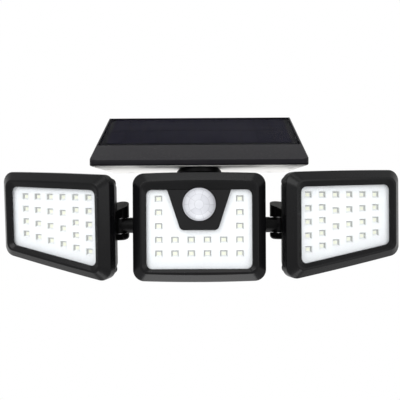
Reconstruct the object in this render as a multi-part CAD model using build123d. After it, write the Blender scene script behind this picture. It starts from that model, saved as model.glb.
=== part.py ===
from build123d import *
import math
import os

# Wall-mounted solar security light: a wedge housing with a tilted solar panel, a short
# neck under it, a centre head with a motion sensor and two side heads on swivelling arms.
# Millimetres, +Z up, front towards -Y, origin on the wall between the two keyholes.

# ---------------------------------------------------------------- fits and fasteners
RUN_FIT = 0.05            # radial clearance of a turning shaft
SLIP = 0.2                # clearance round a piece that drops into a pocket
FACE_GAP = 0.1            # gap between flat faces that slide on each other
SCREW_R = 1.3             # case screw shank
SCREW_HEAD_R = 2.7
SCREW_HEAD_H = 2.0
SCREW_GRIP = 4.0          # plastic under a case screw's head
SCREW_BITE = 6.0          # thread length of a case screw in its post
SCREW_HEAD_CHAMFER = 0.6
RECESS_HALF = 1.6         # half length of a cross recess
RECESS_HALF_W = 0.35
RECESS_DEPTH = 1.1
COUNTERBORE_SLACK = 0.4
BLIND_EXTRA = 0.5         # screw hole beyond the screw's tip
POST_R = 3.7              # screw post
LEVEL_TOL = 0.01          # edges this close to a level belong to it
THROUGH = 1.0             # how far a cutting shape overshoots
ROOT = 0.5                # how far a joined shape sinks into its neighbour

# ---------------------------------------------------------------- housing
HOUSING_W = 158.6
HOUSING_D = 95.0          # wall to front lip
HOUSING_WALL = 2.2
FRONT_LIP_H = 3.7         # upright face under the front lip
RIM_Z = -23.6             # lower rim of the housing
BACK_TOP_Z = 23.6         # upper rear edge of the sloping top
BACK_TOP_Y = -13.7
REAR_BEVEL_Z = 13.0       # where the rear bevel meets the wall face
HOUSING_CORNER_R = 6.0    # front corners, seen from above
HOUSING_EDGE_R = 1.5      # lip and edges of the sloping top
RIM_UNDER_R = 1.2         # lower rim
KEYHOLE_SPACING = 100.0
KEYHOLE_R = 4.6           # round that a screw head enters
KEYHOLE_SLOT_R = 2.3      # slot that holds the screw's shank
KEYHOLE_DROP = 8.0        # how far the light drops on its screws

BAND_LENGTH = 28.4        # plain front band, along the slope
PANEL_REAR_RIM = 1.8
PANEL_SIDE_RIM = 1.9
GLASS_T = 0.6
CELL_T = 0.3
BACKING_T = 1.6
PANEL_SEAT_FLOOR = 2.0
PANEL_SEAL_W = 1.6
PANEL_SEAL_T = 0.8
PANEL_SUNK = 0.2          # glass under the housing's top
PANEL_CORNER_R = 1.6
CELL_COLUMNS = 11
CELL_ROWS = 2
CELL_GAP = 0.5
CELL_ROW_GAP = 1.2
CELL_FRONT_MARGIN = 6.6
CELL_REAR_MARGIN = 1.2
CELL_SIDE_MARGIN = 7.2    # housing side to the outer cells
CELL_PITCH = (HOUSING_W - 2 * CELL_SIDE_MARGIN + CELL_GAP) / CELL_COLUMNS
LEAD_HOLE_R = 3.0         # panel lead, through the seat

BASE_T = 2.5
BASE_PROUD = 0.5          # base stands below the rim
BASE_LEDGE_W = 2.6
BASE_LEDGE_T = 1.6
HOUSING_SEAL_T = 1.0
HOUSING_SEAL_W = 1.2
SEAL_SETBACK = 4.0        # the seal keeps behind the low front of the wedge
BASE_REAR_CORNER_R = 1.2
BASE_POST_R = 3.6
BASE_COUNTERBORE = 1.4    # depth of a base screw's head pocket
BASE_HEAD_H = 1.2
BASE_SCREW_SIDE = 8.0     # front screws, from the side
BASE_SCREW_FRONT = 32.0   # and from the front lip
BASE_REAR_SCREW_SIDE = 18.0
BASE_REAR_SCREW_WALL = 9.0      # rear screws, from the wall face

BATTERY_R = 9.2
BATTERY_L = 65.0
BATTERY_DIVIDER = 0.8     # wall between the two cells
HOLDER_REAR_GAP = 0.3     # holder to the ledge along the rear wall
HOLDER_WALL = 1.0
HOLDER_H = 12.0
BOARD_T = 1.6
CHARGE_BOARD_W = 20.0
CHARGE_BOARD_D = 34.0
CHARGE_BOARD_GAP = 2.0    # beside the battery holder
CHARGE_BOARD_WALL = 14.0  # board's rear edge from the wall face
CHARGE_BOARD_X = BATTERY_L / 2 + SLIP + HOLDER_WALL + CHARGE_BOARD_GAP + CHARGE_BOARD_W / 2
CHARGE_BOARD_Y = -CHARGE_BOARD_WALL - CHARGE_BOARD_D / 2
STANDOFF_R = 2.5
STANDOFF_H = 4.0
STANDOFF_INSET = 3.5      # standoff centre to the board's edges

# ---------------------------------------------------------------- heads, front to back
LED_PLANE_TO_WINDOW = 3.5     # LED faces lie this far behind the lens front
RIDGE_PROUD = 3.0             # bezel ridge in front of the lens front
BEVEL_DEPTH = 5.0             # outer bevel, ridge to side wall
SIDE_DEPTH = 7.0              # upright side wall of the bezel
BEZEL_BORDER = 10.0           # outline to window edge
RIDGE_INSET = 7.0
RIDGE_LAND = 1.2
LIP_T = 1.2                   # bezel lip in front of the lens
LENS_INSET = 7.6
LENS_T = 2.0
BEZEL_WALL = 3.0
HEAD_CORNER_R = 8.2
RIM_EDGE_R = 1.2          # rounded edge between bevel and side wall
RIDGE_EDGE_R = 0.5
RIDGE_CORNER_R = 5.5
WINDOW_CORNER_R = 4.0
LED_T = 1.2
LED_W = 3.5
LED_H = 2.9
POCKET_W = 5.3                # LED pocket in the reflector plate
POCKET_H = 4.7
SHELL_WALL = 2.2
SHELL_TAPER = 4.5             # outline to rear face
SHELL_EDGE_R = 1.2
SHELL_REAR_R = 6.0
SHELL_INNER_R = 5.0
GASKET_INSET = 0.9
GASKET_W = 1.2
GASKET_T = 1.0
POST_INSET = 6.5
TOWER_H = 7.0                 # screw tower behind the parting line
REST_PAD_R = 2.5

WINDOW_Y = -LED_PLANE_TO_WINDOW
RIDGE_Y = WINDOW_Y - RIDGE_PROUD
RIM_Y = RIDGE_Y + BEVEL_DEPTH
PARTING_Y = RIM_Y + SIDE_DEPTH
LENS_BACK_Y = WINDOW_Y + LENS_T
BOARD_FRONT_Y = LED_T
BOARD_BACK_Y = BOARD_FRONT_Y + BOARD_T

# ---------------------------------------------------------------- centre head
CENTRE_Y = -97.0          # LED faces of the centre head
CENTRE_Z = -67.0          # middle of the LED grid
CENTRE_W = 94.2
CENTRE_TOP = 37.3
CENTRE_H = 75.9
CENTRE_BOW = 1.0          # arch of the top and bottom edges
CENTRE_SHELL_D = 21.5
CENTRE_LED_PITCH_X = 11.5
CENTRE_LED_PITCH_Z = 9.7
CENTRE_LED_COLUMNS = 6
CENTRE_LED_ROWS = 5
CENTRE_LOW_ROWS = 2       # rows that run under the sensor
CENTRE_BROW = 1.6         # extra border above the window
CENTRE_CHIN = 1.3         # border missing below the window

PAD_INSET = 20.0          # rest pads, from the side edges
PAD_LOW_Z = -26.0
PAD_HIGH_Z = 24.0

DOME_R = 11.6
DOME_Z = 15.5
DOME_RISE = 8.5
DOME_WALL = 0.9
DOME_FLANGE_R = 14.0
DOME_FLANGE_T = 1.0
SURROUND_TOP_HALF = 22.4
SURROUND_FOOT_HALF = 13.2
SURROUND_FOOT_Z = -2.6
SURROUND_FILLET = 3.5
SURROUND_PROUD = 1.6
PIR_CAN_R = 4.6
PIR_CAN_H = 4.2
PIR_FLANGE_R = 5.1
PIR_FLANGE_T = 0.6
PIR_WINDOW_W = 4.4
PIR_WINDOW_H = 3.2
PIR_WINDOW_DEPTH = 0.3

CONTROL_BOARD_W = 34.0
CONTROL_BOARD_H = 26.0
CONTROL_BOARD_Z = -14.0
CONTROL_BOARD_GAP = 11.0  # inner face of the rear wall to the control board
BUTTON_R = 4.5
BUTTON_PROUD = 2.4
BUTTON_TRAVEL = 1.2
BUTTON_EDGE_R = 0.8
BUTTON_FLANGE_R = 6.0
BUTTON_FLANGE_T = 1.2
BUTTON_STEM_R = 1.6
SWITCH_W = 6.0
SWITCH_H = 4.0
BUTTON_SLIDE = 0.15       # side clearance of the button

# ---------------------------------------------------------------- neck and tilt hinge
NECK_Y = 38.0             # behind the LED faces
TILT_Z = 31.0             # above the middle of the LED grid
NECK_TOP_R = 14.4         # hood over the tilt hinge: half width at the top
NECK_SKIRT_R = 16.8       # and at its lower edge
NECK_FRONT = 30.0         # hood's nose in front of the neck's axis
NECK_HOOD_T = 2.6
NECK_SKIRT_T = 0.8
TONGUE_W = 14.0
TONGUE_R = 7.8
SPIGOT_R = 8.0
SPIGOT_ABOVE = 6.5        # spigot above the base's inner face
SPIGOT_BORE_R = 4.0
NECK_WASHER_R = 12.6
NECK_WASHER_T = 1.0
NECK_NUT_FLATS = 22.0
NECK_NUT_T = 4.5
NECK_SEAL_R = 11.0
NECK_SEAL_W = 1.6
NECK_SEAL_T = 0.8
EAR_SPAN = 35.0           # outer faces of the two ears
EAR_R = 8.2
EAR_FOOT_H = 15.0
EAR_EDGE_R = 2.0
EAR_ROOT_DROP = 3.8       # ear's upper line at the wall, under the top of its eye
TILT_WASHER_T = 0.6
TILT_WASHER_R = 6.0
TILT_BOLT_R = 2.5
TILT_HEAD_FLATS = 8.0
TILT_HEAD_T = 3.4
TILT_NUT_T = 3.8
TILT_POCKET_SLACK = 0.15
TILT_TIP_SUNK = 0.5       # bolt's tip inside the nut's outer face

# ---------------------------------------------------------------- arms
ARM_Y = 17.0              # arm axis behind the LED faces
ARM_R = 5.75
ARM_REACH = 12.2          # hinge pin of a side head beyond the centre head's side
ARM_BOSS_R = 8.6
ARM_BOSS_SUNK = 0.3       # boss face inside the centre head's outline
ARM_BOSS_L = 9.9
ARM_TAIL = 3.4            # arm's end beyond the boss
ARM_SEAL_DEPTH = 3.9      # seal inside the boss face
ARM_CLIP_T = 1.0
ARM_CLIP_R = 7.6
ARM_CLIP_GROOVE_R = 4.7
ARM_CLIP_OPENING = 5.0
ARM_SEAL_R = 0.8
ARM_SEAL_SLACK = 0.1      # groove beside the seal
EYE_HALF = 5.4            # half height of the arm's eye
FLAT_EXTRA = 0.5          # the eye's flats reach this far past the jaws
HINGE_WASHER_T = 0.5
HINGE_WASHER_R = 5.0
HINGE_PIN_R = 2.0
HINGE_HEAD_R = 3.7
HINGE_HEAD_T = 2.5
HINGE_HEAD_SUNK = 0.3
HINGE_SLOT_HALF = 2.0
HINGE_SLOT_HALF_W = 0.4
HINGE_SLOT_DEPTH = 1.0
HINGE_PIN_TOP = 11.0
PIN_X = CENTRE_W / 2 + ARM_REACH
ARM_BOSS_OUT = CENTRE_W / 2 - ARM_BOSS_SUNK
ARM_BOSS_IN = ARM_BOSS_OUT - ARM_BOSS_L
ARM_END = ARM_BOSS_IN - ARM_TAIL
ARM_SEAL_X = ARM_BOSS_OUT - ARM_SEAL_DEPTH

# ---------------------------------------------------------------- side heads
LEFT_YAW = 20.5           # outward turn as photographed
RIGHT_YAW = 16.5
LEFT_PITCH = 4.0          # top leans forward
RIGHT_PITCH = 0.0
PIN_BEHIND = 21.7         # hinge pin behind the LED faces
INNER_LED_X = 11.65       # inner LED column outward of the pin
SIDE_LED_TOP = 21.8
SIDE_LED_PITCH = 10.96
SIDE_LED_COLUMNS = 6
SIDE_LED_ROWS = (5, 5, 4, 4, 4, 4)
SIDE_COLUMN_H = 38.6      # inner column, top LED to bottom LED
SIDE_LED_SLANT = 0.193    # rise of the bottom LED row per mm outward
SIDE_SLANT = 0.173        # rise of the bottom edge per mm outward
SIDE_RISE = 0.026         # rise of the top edge per mm outward
SIDE_BOW = 0.45           # arch of the top and bottom edges
SIDE_BROW = 0.6           # extra border above the window
SIDE_CHIN = 0.35          # border missing below the window
SIDE_MARGIN_IN = 7.15     # window's inner edge to the inner LED column
SIDE_MARGIN_OUT = 9.85    # outer LED column to the window's outer edge
SIDE_TOP_MARGIN = 5.9     # at the inner end, without the brow
SIDE_INNER_H = 76.05
SIDE_PADS = ((10.0, 0.0), (45.0, 8.0), (25.0, -12.0))      # outward of the inner LEDs, height
SIDE_SHELL_D = 11.0
JAW_R = 7.0
JAW_LOW_Z = -10.7
JAW_TOP_REAR = 17.3
JAW_TOP_FRONT = 12.6
JAW_ROOT_Y = 10.0         # how far forward the jaws root into the shell
JAW_ROOT_X = 13.0
JAW_ROOT_STEP = 1.0       # web's flanks inside the jaw's round
JAW_RELIEF = 0.65
JAW_EDGE_R = 3.0


class HeadShape:
    """Front outline of a head: upright inner and outer edges, a top and a bottom that may
    both rise outward and are slightly arched, a window that sits low in it by brow and
    chin, and the depth of the shell behind its parting line."""

    def __init__(self, inner_x, width, top, height, rise, slant, bow, brow, chin, shell_depth):
        self.inner_x = inner_x
        self.width = width
        self.top = top
        self.height = height
        self.rise = rise
        self.slant = slant
        self.bow = bow
        self.brow = brow
        self.chin = chin
        self.back_y = PARTING_Y + shell_depth

    def corners(self, inset):
        """Inner top, outer top, outer bottom and inner bottom corner, moved inward."""
        low_top = self.top - inset * math.hypot(1, self.rise)
        foot = self.top - self.height + inset * math.hypot(1, self.slant)
        far = self.width - inset
        left = self.inner_x + inset
        right = self.inner_x + far
        return [(left, low_top + self.rise * inset), (right, low_top + self.rise * far),
                (right, foot + self.slant * far), (left, foot + self.slant * inset)]


SIDE_INNER_X = INNER_LED_X - SIDE_MARGIN_IN - BEZEL_BORDER
SIDE_W = (SIDE_LED_COLUMNS - 1) * SIDE_LED_PITCH + SIDE_MARGIN_IN + SIDE_MARGIN_OUT + 2 * BEZEL_BORDER
SIDE_TOP = SIDE_LED_TOP + SIDE_TOP_MARGIN + BEZEL_BORDER
CENTRE = HeadShape(-CENTRE_W / 2, CENTRE_W, CENTRE_TOP, CENTRE_H, 0, 0, CENTRE_BOW,
                   CENTRE_BROW, CENTRE_CHIN, CENTRE_SHELL_D)
SIDE = HeadShape(SIDE_INNER_X, SIDE_W, SIDE_TOP, SIDE_INNER_H, SIDE_RISE, SIDE_SLANT, SIDE_BOW,
                 SIDE_BROW, SIDE_CHIN, SIDE_SHELL_D)


# ---------------------------------------------------------------- helpers
def outline(shape, inset, corner_r, y, bow=0.0, brow=0.0, chin=0.0):
    """Rounded outline of a head as a face at depth y, its top and foot lowered by brow and chin."""
    a, b, c, d = shape.corners(inset)
    points = [Vector(p[0], y, p[1] - brow) for p in (a, b)]
    points += [Vector(p[0], y, p[1] - chin) for p in (c, d)]
    if bow > 0:
        high = (points[0] + points[1]) / 2 + Vector(0, 0, bow)
        low = (points[2] + points[3]) / 2 - Vector(0, 0, bow)
        top_edge = Edge.make_three_point_arc(points[0], high, points[1])
        low_edge = Edge.make_three_point_arc(points[2], low, points[3])
    else:
        top_edge = Edge.make_line(points[0], points[1])
        low_edge = Edge.make_line(points[2], points[3])
    outer = Edge.make_line(points[1], points[2])
    inner = Edge.make_line(points[3], points[0])
    face = Face(Wire([top_edge, outer, low_edge, inner]))
    return face.fillet_2d(corner_r, face.vertices())


def slab(face, depth):
    """Face extruded backwards, along +Y."""
    return extrude(face, amount=depth, dir=(0, 1, 0))


def block(x0, x1, y0, y1, z0, z1):
    """Box between two corners."""
    box = Box(x1 - x0, y1 - y0, z1 - z0)
    return Pos((x0 + x1) / 2, (y0 + y1) / 2, (z0 + z1) / 2) * box


def rod_x(radius, x0, x1, y, z):
    """Cylinder along X."""
    return Pos((x0 + x1) / 2, y, z) * Rot(0, 90, 0) * Cylinder(radius, abs(x1 - x0))


def rod_y(radius, y0, y1, x, z):
    """Cylinder along Y."""
    return Pos(x, (y0 + y1) / 2, z) * Rot(90, 0, 0) * Cylinder(radius, abs(y1 - y0))


def rod_z(radius, z0, z1, x, y):
    """Cylinder along Z."""
    return Pos(x, y, (z0 + z1) / 2) * Cylinder(radius, abs(z1 - z0))


def prism_x(points, x0, x1):
    """Polygon of (y, z) points extruded along X."""
    face = Face(Wire.make_polygon([Vector(x0, y, z) for y, z in points], close=True))
    return extrude(face, amount=x1 - x0, dir=(1, 0, 0))


def prism_z(points, z0, z1):
    """Polygon of (x, y) points extruded upwards."""
    face = Face(Wire.make_polygon([Vector(x, y, z0) for x, y in points], close=True))
    return extrude(face, amount=z1 - z0, dir=(0, 0, 1))


def hexagon(flats, thickness):
    """Hexagonal prism along Z, centred."""
    return extrude(RegularPolygon(flats / 2, 6, major_radius=False), amount=thickness / 2, both=True)


def cross(half, half_w, depth):
    """Cross recess to cut from a screw head, along Z and centred."""
    return Box(2 * half, 2 * half_w, 2 * depth) + Box(2 * half_w, 2 * half, 2 * depth)


def case_screw(seat_y, x, z):
    """Case screw driven forwards: pan head behind seat_y, shank in front of it."""
    top_y = seat_y + SCREW_HEAD_H
    head = rod_y(SCREW_HEAD_R, seat_y, top_y, x, z)
    head = chamfer(head.edges().filter_by(GeomType.CIRCLE).sort_by(Axis.Y)[-1], SCREW_HEAD_CHAMFER)
    shank = rod_y(SCREW_R, seat_y - SCREW_GRIP - SCREW_BITE, seat_y, x, z)
    recess = cross(RECESS_HALF, RECESS_HALF_W, RECESS_DEPTH)
    return head + shank - Pos(x, top_y, z) * Rot(90, 0, 0) * recess


# ---------------------------------------------------------------- pieces every head has
def head_bezel(shape):
    """Bevelled front frame with its lens seat and four screw posts."""
    rim = outline(shape, 0, HEAD_CORNER_R, RIM_Y, shape.bow)
    ridge_outer = outline(shape, RIDGE_INSET - RIDGE_LAND, RIDGE_CORNER_R, RIDGE_Y, shape.bow)
    body = slab(rim, SIDE_DEPTH) + loft([rim, ridge_outer], ruled=True)
    body = fillet(body.edges().filter_by(lambda e: abs(e.center().Y - RIM_Y) < LEVEL_TOL), RIM_EDGE_R)
    front = body.faces().sort_by(Axis.Y)[0]
    body = fillet(front.edges(), RIDGE_EDGE_R)
    ridge_inner = outline(shape, RIDGE_INSET, RIDGE_CORNER_R, RIDGE_Y, shape.bow / 2)
    window = outline(shape, BEZEL_BORDER, WINDOW_CORNER_R, WINDOW_Y - LIP_T, 0, shape.brow, shape.chin)
    body -= loft([ridge_inner, window], ruled=True)
    body -= slab(window, LIP_T)
    body -= slab(outline(shape, LENS_INSET, RIDGE_CORNER_R, WINDOW_Y), LENS_T)
    pocket = slab(outline(shape, BEZEL_WALL, RIDGE_CORNER_R, LENS_BACK_Y), PARTING_Y - LENS_BACK_Y)
    hole_front = PARTING_Y - SCREW_BITE - BLIND_EXTRA
    for x, z in shape.corners(POST_INSET):
        pocket -= rod_y(POST_R, LENS_BACK_Y - THROUGH, PARTING_Y + THROUGH, x, z)
    body -= pocket
    for x, z in shape.corners(POST_INSET):
        body -= rod_y(SCREW_R + RUN_FIT, hole_front, PARTING_Y, x, z)
    return body


def head_lens(shape):
    """Clear window plate behind the bezel's lip."""
    return slab(outline(shape, LENS_INSET + SLIP, RIDGE_CORNER_R - SLIP, WINDOW_Y), LENS_T)


def post_notches(shape, y0, y1):
    """Room for the bezel's screw posts."""
    return [rod_y(POST_R + SLIP, y0 - THROUGH, y1 + THROUGH, x, z) for x, z in shape.corners(POST_INSET)]


def head_plate(shape, y0, y1):
    """Plate that fills the bezel's pocket round the screw posts."""
    plate = slab(outline(shape, BEZEL_WALL + SLIP, RIDGE_CORNER_R - SLIP, y0), y1 - y0)
    return plate - post_notches(shape, y0, y1)


def head_reflector(shape, led_places):
    """White plate with one tapered pocket round each LED."""
    plate = head_plate(shape, LENS_BACK_Y, BOARD_FRONT_Y)
    front = Plane(origin=(0, LENS_BACK_Y, 0), x_dir=(1, 0, 0), z_dir=(0, 1, 0))
    back = Plane(origin=(0, BOARD_FRONT_Y, 0), x_dir=(1, 0, 0), z_dir=(0, 1, 0))
    mouth = front * Rectangle(POCKET_W, POCKET_H)
    floor = back * Rectangle(LED_W + 2 * SLIP, LED_H + 2 * SLIP)
    pocket = loft([mouth.face(), floor.face()], ruled=True)
    return plate - [Pos(x, 0, z) * pocket for x, z in led_places]


def head_leds(led_places):
    """LED packages on the board, as separate solids."""
    chips = []
    for x, z in led_places:
        chip = block(x - LED_W / 2, x + LED_W / 2, 0, LED_T, z - LED_H / 2, z + LED_H / 2)
        chips.append(chip)
    return Compound(children=chips)


def head_gasket(shape):
    """Rubber ring in the groove of the parting line."""
    ring = slab(outline(shape, GASKET_INSET, HEAD_CORNER_R - GASKET_INSET, PARTING_Y), GASKET_T)
    inner_inset = GASKET_INSET + GASKET_W
    return ring - slab(outline(shape, inner_inset, HEAD_CORNER_R - inner_inset, PARTING_Y), GASKET_T)


def shell_cavity(shape):
    """Inside of a rear shell."""
    front = outline(shape, BEZEL_WALL, RIDGE_CORNER_R, PARTING_Y)
    rear = outline(shape, SHELL_TAPER + SHELL_WALL, SHELL_INNER_R, shape.back_y - SHELL_WALL)
    return loft([front, rear], ruled=True)


def head_shell(shape, pads):
    """Tapered rear shell with screw towers and pads that press on the board."""
    front = outline(shape, 0, HEAD_CORNER_R, PARTING_Y, shape.bow)
    rear = outline(shape, SHELL_TAPER, SHELL_REAR_R, shape.back_y, shape.bow)
    body = loft([front, rear], ruled=True)
    body = fillet(body.faces().sort_by(Axis.Y)[-1].edges(), SHELL_EDGE_R)
    body -= shell_cavity(shape)
    tower_back = PARTING_Y + TOWER_H
    for x, z in shape.corners(POST_INSET):
        body += rod_y(POST_R, PARTING_Y, tower_back, x, z)
    for x, z in pads:
        body += rod_y(REST_PAD_R, BOARD_BACK_Y, shape.back_y - SHELL_WALL + ROOT, x, z)
    seat = PARTING_Y + SCREW_GRIP
    for x, z in shape.corners(POST_INSET):
        body -= rod_y(SCREW_R + RUN_FIT, PARTING_Y - THROUGH, tower_back, x, z)
        body -= rod_y(SCREW_HEAD_R + COUNTERBORE_SLACK, seat, shape.back_y + THROUGH, x, z)
    return body - head_gasket(shape)


def head_screws(shape):
    """Four case screws from behind."""
    seat = PARTING_Y + SCREW_GRIP
    return Compound(children=[case_screw(seat, x, z) for x, z in shape.corners(POST_INSET)])


# ---------------------------------------------------------------- centre head
def to_centre(part):
    """Head frame to the light's frame for the centre head."""
    return Pos(0, CENTRE_Y, CENTRE_Z) * part


def centre_led_places():
    places = []
    for column in range(CENTRE_LED_COLUMNS):
        x = (column - (CENTRE_LED_COLUMNS - 1) / 2) * CENTRE_LED_PITCH_X
        edge_column = column in (0, CENTRE_LED_COLUMNS - 1)
        for row in range(CENTRE_LED_ROWS):
            z = ((CENTRE_LED_ROWS - 1) / 2 - row) * CENTRE_LED_PITCH_Z
            if edge_column or row >= CENTRE_LED_ROWS - CENTRE_LOW_ROWS:
                places.append((x, z))
    return places


def surround_outline(y, grow=0.0):
    """Trapezoid round the sensor, hanging from the window's top edge."""
    top = CENTRE_TOP - BEZEL_BORDER - CENTRE_BROW + grow
    half_top = SURROUND_TOP_HALF + grow
    half_foot = SURROUND_FOOT_HALF + grow
    foot = SURROUND_FOOT_Z - grow
    points = [(-half_top, top), (half_top, top), (half_foot, foot), (-half_foot, foot)]
    face = Face(Wire.make_polygon([Vector(x, y, z) for x, z in points], close=True))
    low = face.vertices().sort_by(Axis.Z)[:2]
    return face.fillet_2d(SURROUND_FILLET, low)


def sensor_surround():
    """Raised black surround that carries the dome, standing through the lens."""
    front = WINDOW_Y - SURROUND_PROUD
    body = slab(surround_outline(front), LENS_BACK_Y - front)
    body -= rod_y(DOME_R + SLIP, front - THROUGH, LENS_BACK_Y + THROUGH, 0, DOME_Z)
    body -= rod_y(DOME_FLANGE_R + SLIP, LENS_BACK_Y - DOME_FLANGE_T, LENS_BACK_Y, 0, DOME_Z)
    return body


def sensor_dome():
    """Hollow white dome with a flange behind the surround."""
    front = WINDOW_Y - SURROUND_PROUD
    collar = rod_y(DOME_R, front, LENS_BACK_Y, 0, DOME_Z)
    sphere_r = (DOME_R ** 2 + DOME_RISE ** 2) / (2 * DOME_RISE)
    centre_y = front - DOME_RISE + sphere_r
    cap = Pos(0, centre_y, DOME_Z) * Sphere(sphere_r)
    cap &= rod_y(DOME_R, front - DOME_RISE - THROUGH, front, 0, DOME_Z)
    hollow = Pos(0, centre_y, DOME_Z) * Sphere(sphere_r - DOME_WALL)
    hollow &= rod_y(DOME_R - DOME_WALL, front - DOME_RISE - THROUGH, front, 0, DOME_Z)
    flange = rod_y(DOME_FLANGE_R, LENS_BACK_Y - DOME_FLANGE_T, LENS_BACK_Y, 0, DOME_Z)
    bore = rod_y(DOME_R - DOME_WALL, front, LENS_BACK_Y + THROUGH, 0, DOME_Z)
    return collar + cap + flange - hollow - bore


def pir_sensor():
    """Round sensor can on the LED board, behind the dome."""
    flange = rod_y(PIR_FLANGE_R, BOARD_FRONT_Y - PIR_FLANGE_T, BOARD_FRONT_Y, 0, DOME_Z)
    can = rod_y(PIR_CAN_R, BOARD_FRONT_Y - PIR_CAN_H, BOARD_FRONT_Y, 0, DOME_Z)
    window = Pos(0, BOARD_FRONT_Y - PIR_CAN_H, DOME_Z) * Box(PIR_WINDOW_W, 2 * PIR_WINDOW_DEPTH, PIR_WINDOW_H)
    return flange + can - window


def centre_pads():
    """Places where the rear shell presses on the LED board."""
    return [(sign * (CENTRE_W / 2 - PAD_INSET), z) for sign in (-1, 1) for z in (PAD_LOW_Z, PAD_HIGH_Z)]


def ears_profile(x0, x1):
    """One tilt ear: a round eye on a foot rooted in the rear wall."""
    root = CENTRE.back_y - SHELL_WALL
    foot = [(root, TILT_Z + EAR_R - EAR_ROOT_DROP), (NECK_Y, TILT_Z + EAR_R),
            (NECK_Y, TILT_Z - EAR_R), (root, TILT_Z - EAR_FOOT_H)]
    return prism_x(foot, x0, x1) + rod_x(EAR_R, x0, x1, NECK_Y, TILT_Z)


def tilt_ear(sign):
    """Right or left ear with its rounded outer rim."""
    inner = sign * (TONGUE_W / 2 + TILT_WASHER_T)
    outer = sign * EAR_SPAN / 2
    ear = ears_profile(min(inner, outer), max(inner, outer))
    rim = ear.faces().sort_by(Axis.X)[0 if sign < 0 else -1].edges()
    return fillet(rim.filter_by(lambda e: e.center().Y > CENTRE.back_y), EAR_EDGE_R)


def tilt_cuts():
    """Bore of the tilt bolt with the pockets of its head and nut."""
    outer = EAR_SPAN / 2
    flats = TILT_HEAD_FLATS + 2 * TILT_POCKET_SLACK
    head_pocket = Pos(-outer, NECK_Y, TILT_Z) * Rot(0, 90, 0) * hexagon(flats, 2 * TILT_HEAD_T)
    nut_pocket = Pos(outer, NECK_Y, TILT_Z) * Rot(0, 90, 0) * hexagon(flats, 2 * TILT_NUT_T)
    bore = rod_x(TILT_BOLT_R + RUN_FIT, -outer - THROUGH, outer + THROUGH, NECK_Y, TILT_Z)
    return [bore, head_pocket, nut_pocket]


def centre_rear_shell():
    """Rear shell with the two tilt ears, the arm bosses and the button's hole."""
    body = head_shell(CENTRE, centre_pads())
    for sign in (-1, 1):
        body += tilt_ear(sign)
        body += rod_x(ARM_BOSS_R, sign * ARM_BOSS_IN, sign * ARM_BOSS_OUT, ARM_Y, 0)
        body -= rod_x(ARM_R + RUN_FIT, sign * (ARM_BOSS_IN - THROUGH), sign * (ARM_BOSS_OUT + THROUGH),
                      ARM_Y, 0)
    body -= tilt_cuts()
    wall = CENTRE.back_y - SHELL_WALL
    body -= rod_y(BUTTON_R + BUTTON_SLIDE, wall - THROUGH, CENTRE.back_y + THROUGH, 0, CONTROL_BOARD_Z)
    for x, z in control_board_posts():
        body += rod_y(STANDOFF_R, control_board_y(), wall + ROOT, x, z)
    return body


def control_board_y():
    """Rear face of the control board."""
    return CENTRE.back_y - SHELL_WALL - CONTROL_BOARD_GAP


def control_board_posts():
    dx = CONTROL_BOARD_W / 2 - STANDOFF_INSET
    dz = CONTROL_BOARD_H / 2 - STANDOFF_INSET
    return [(sx * dx, CONTROL_BOARD_Z + sz * dz) for sx in (-1, 1) for sz in (-1, 1)]


def control_board():
    rear = control_board_y()
    half_h = CONTROL_BOARD_H / 2
    return block(-CONTROL_BOARD_W / 2, CONTROL_BOARD_W / 2, rear - BOARD_T, rear,
                 CONTROL_BOARD_Z - half_h, CONTROL_BOARD_Z + half_h)


def mode_switch():
    """Body of the push switch on the control board."""
    rear = control_board_y()
    half = SWITCH_W / 2
    return block(-half, half, rear, rear + SWITCH_H, CONTROL_BOARD_Z - half, CONTROL_BOARD_Z + half)


def mode_button():
    """Push button: cap through the rear wall, flange inside, stem to the switch."""
    inner_wall = CENTRE.back_y - SHELL_WALL
    cap = rod_y(BUTTON_R, inner_wall - BUTTON_FLANGE_T, CENTRE.back_y + BUTTON_PROUD, 0, CONTROL_BOARD_Z)
    cap = fillet(cap.edges().filter_by(GeomType.CIRCLE).sort_by(Axis.Y)[-1], BUTTON_EDGE_R)
    flange = rod_y(BUTTON_FLANGE_R, inner_wall - FACE_GAP - BUTTON_FLANGE_T, inner_wall - FACE_GAP,
                   0, CONTROL_BOARD_Z)
    switch_face = control_board_y() + SWITCH_H
    stem_end = switch_face + BUTTON_TRAVEL + FACE_GAP
    stem = rod_y(BUTTON_STEM_R, stem_end, inner_wall, 0, CONTROL_BOARD_Z)
    return cap + flange + stem


def centre_head():
    """All pieces of the centre head, in the light's frame."""
    leds = centre_led_places()
    bezel = head_bezel(CENTRE) - rod_y(DOME_R + SLIP, RIDGE_Y - THROUGH, WINDOW_Y, 0, DOME_Z)
    lens = head_lens(CENTRE) - slab(surround_outline(WINDOW_Y - THROUGH, SLIP), LENS_T + 2 * THROUGH)
    lens -= rod_y(DOME_FLANGE_R + SLIP, WINDOW_Y - THROUGH, LENS_BACK_Y + THROUGH, 0, DOME_Z)
    opening = rod_y(PIR_FLANGE_R + SLIP, LENS_BACK_Y - THROUGH, BOARD_FRONT_Y + THROUGH, 0, DOME_Z)
    pieces = {
        "centre_bezel": bezel,
        "centre_lens": lens,
        "centre_reflector": head_reflector(CENTRE, leds) - opening,
        "centre_led_board": head_plate(CENTRE, BOARD_FRONT_Y, BOARD_BACK_Y),
        "centre_leds": head_leds(leds),
        "sensor_surround": sensor_surround(),
        "sensor_dome": sensor_dome(),
        "pir_sensor": pir_sensor(),
        "centre_gasket": head_gasket(CENTRE),
        "centre_rear_shell": centre_rear_shell(),
        "centre_screws": head_screws(CENTRE),
        "control_board": control_board(),
        "mode_switch": mode_switch(),
        "mode_button": mode_button(),
        "tilt_bolt": tilt_bolt(),
        "tilt_nut": tilt_nut(),
    }
    return {name: to_centre(part) for name, part in pieces.items()}


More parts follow.
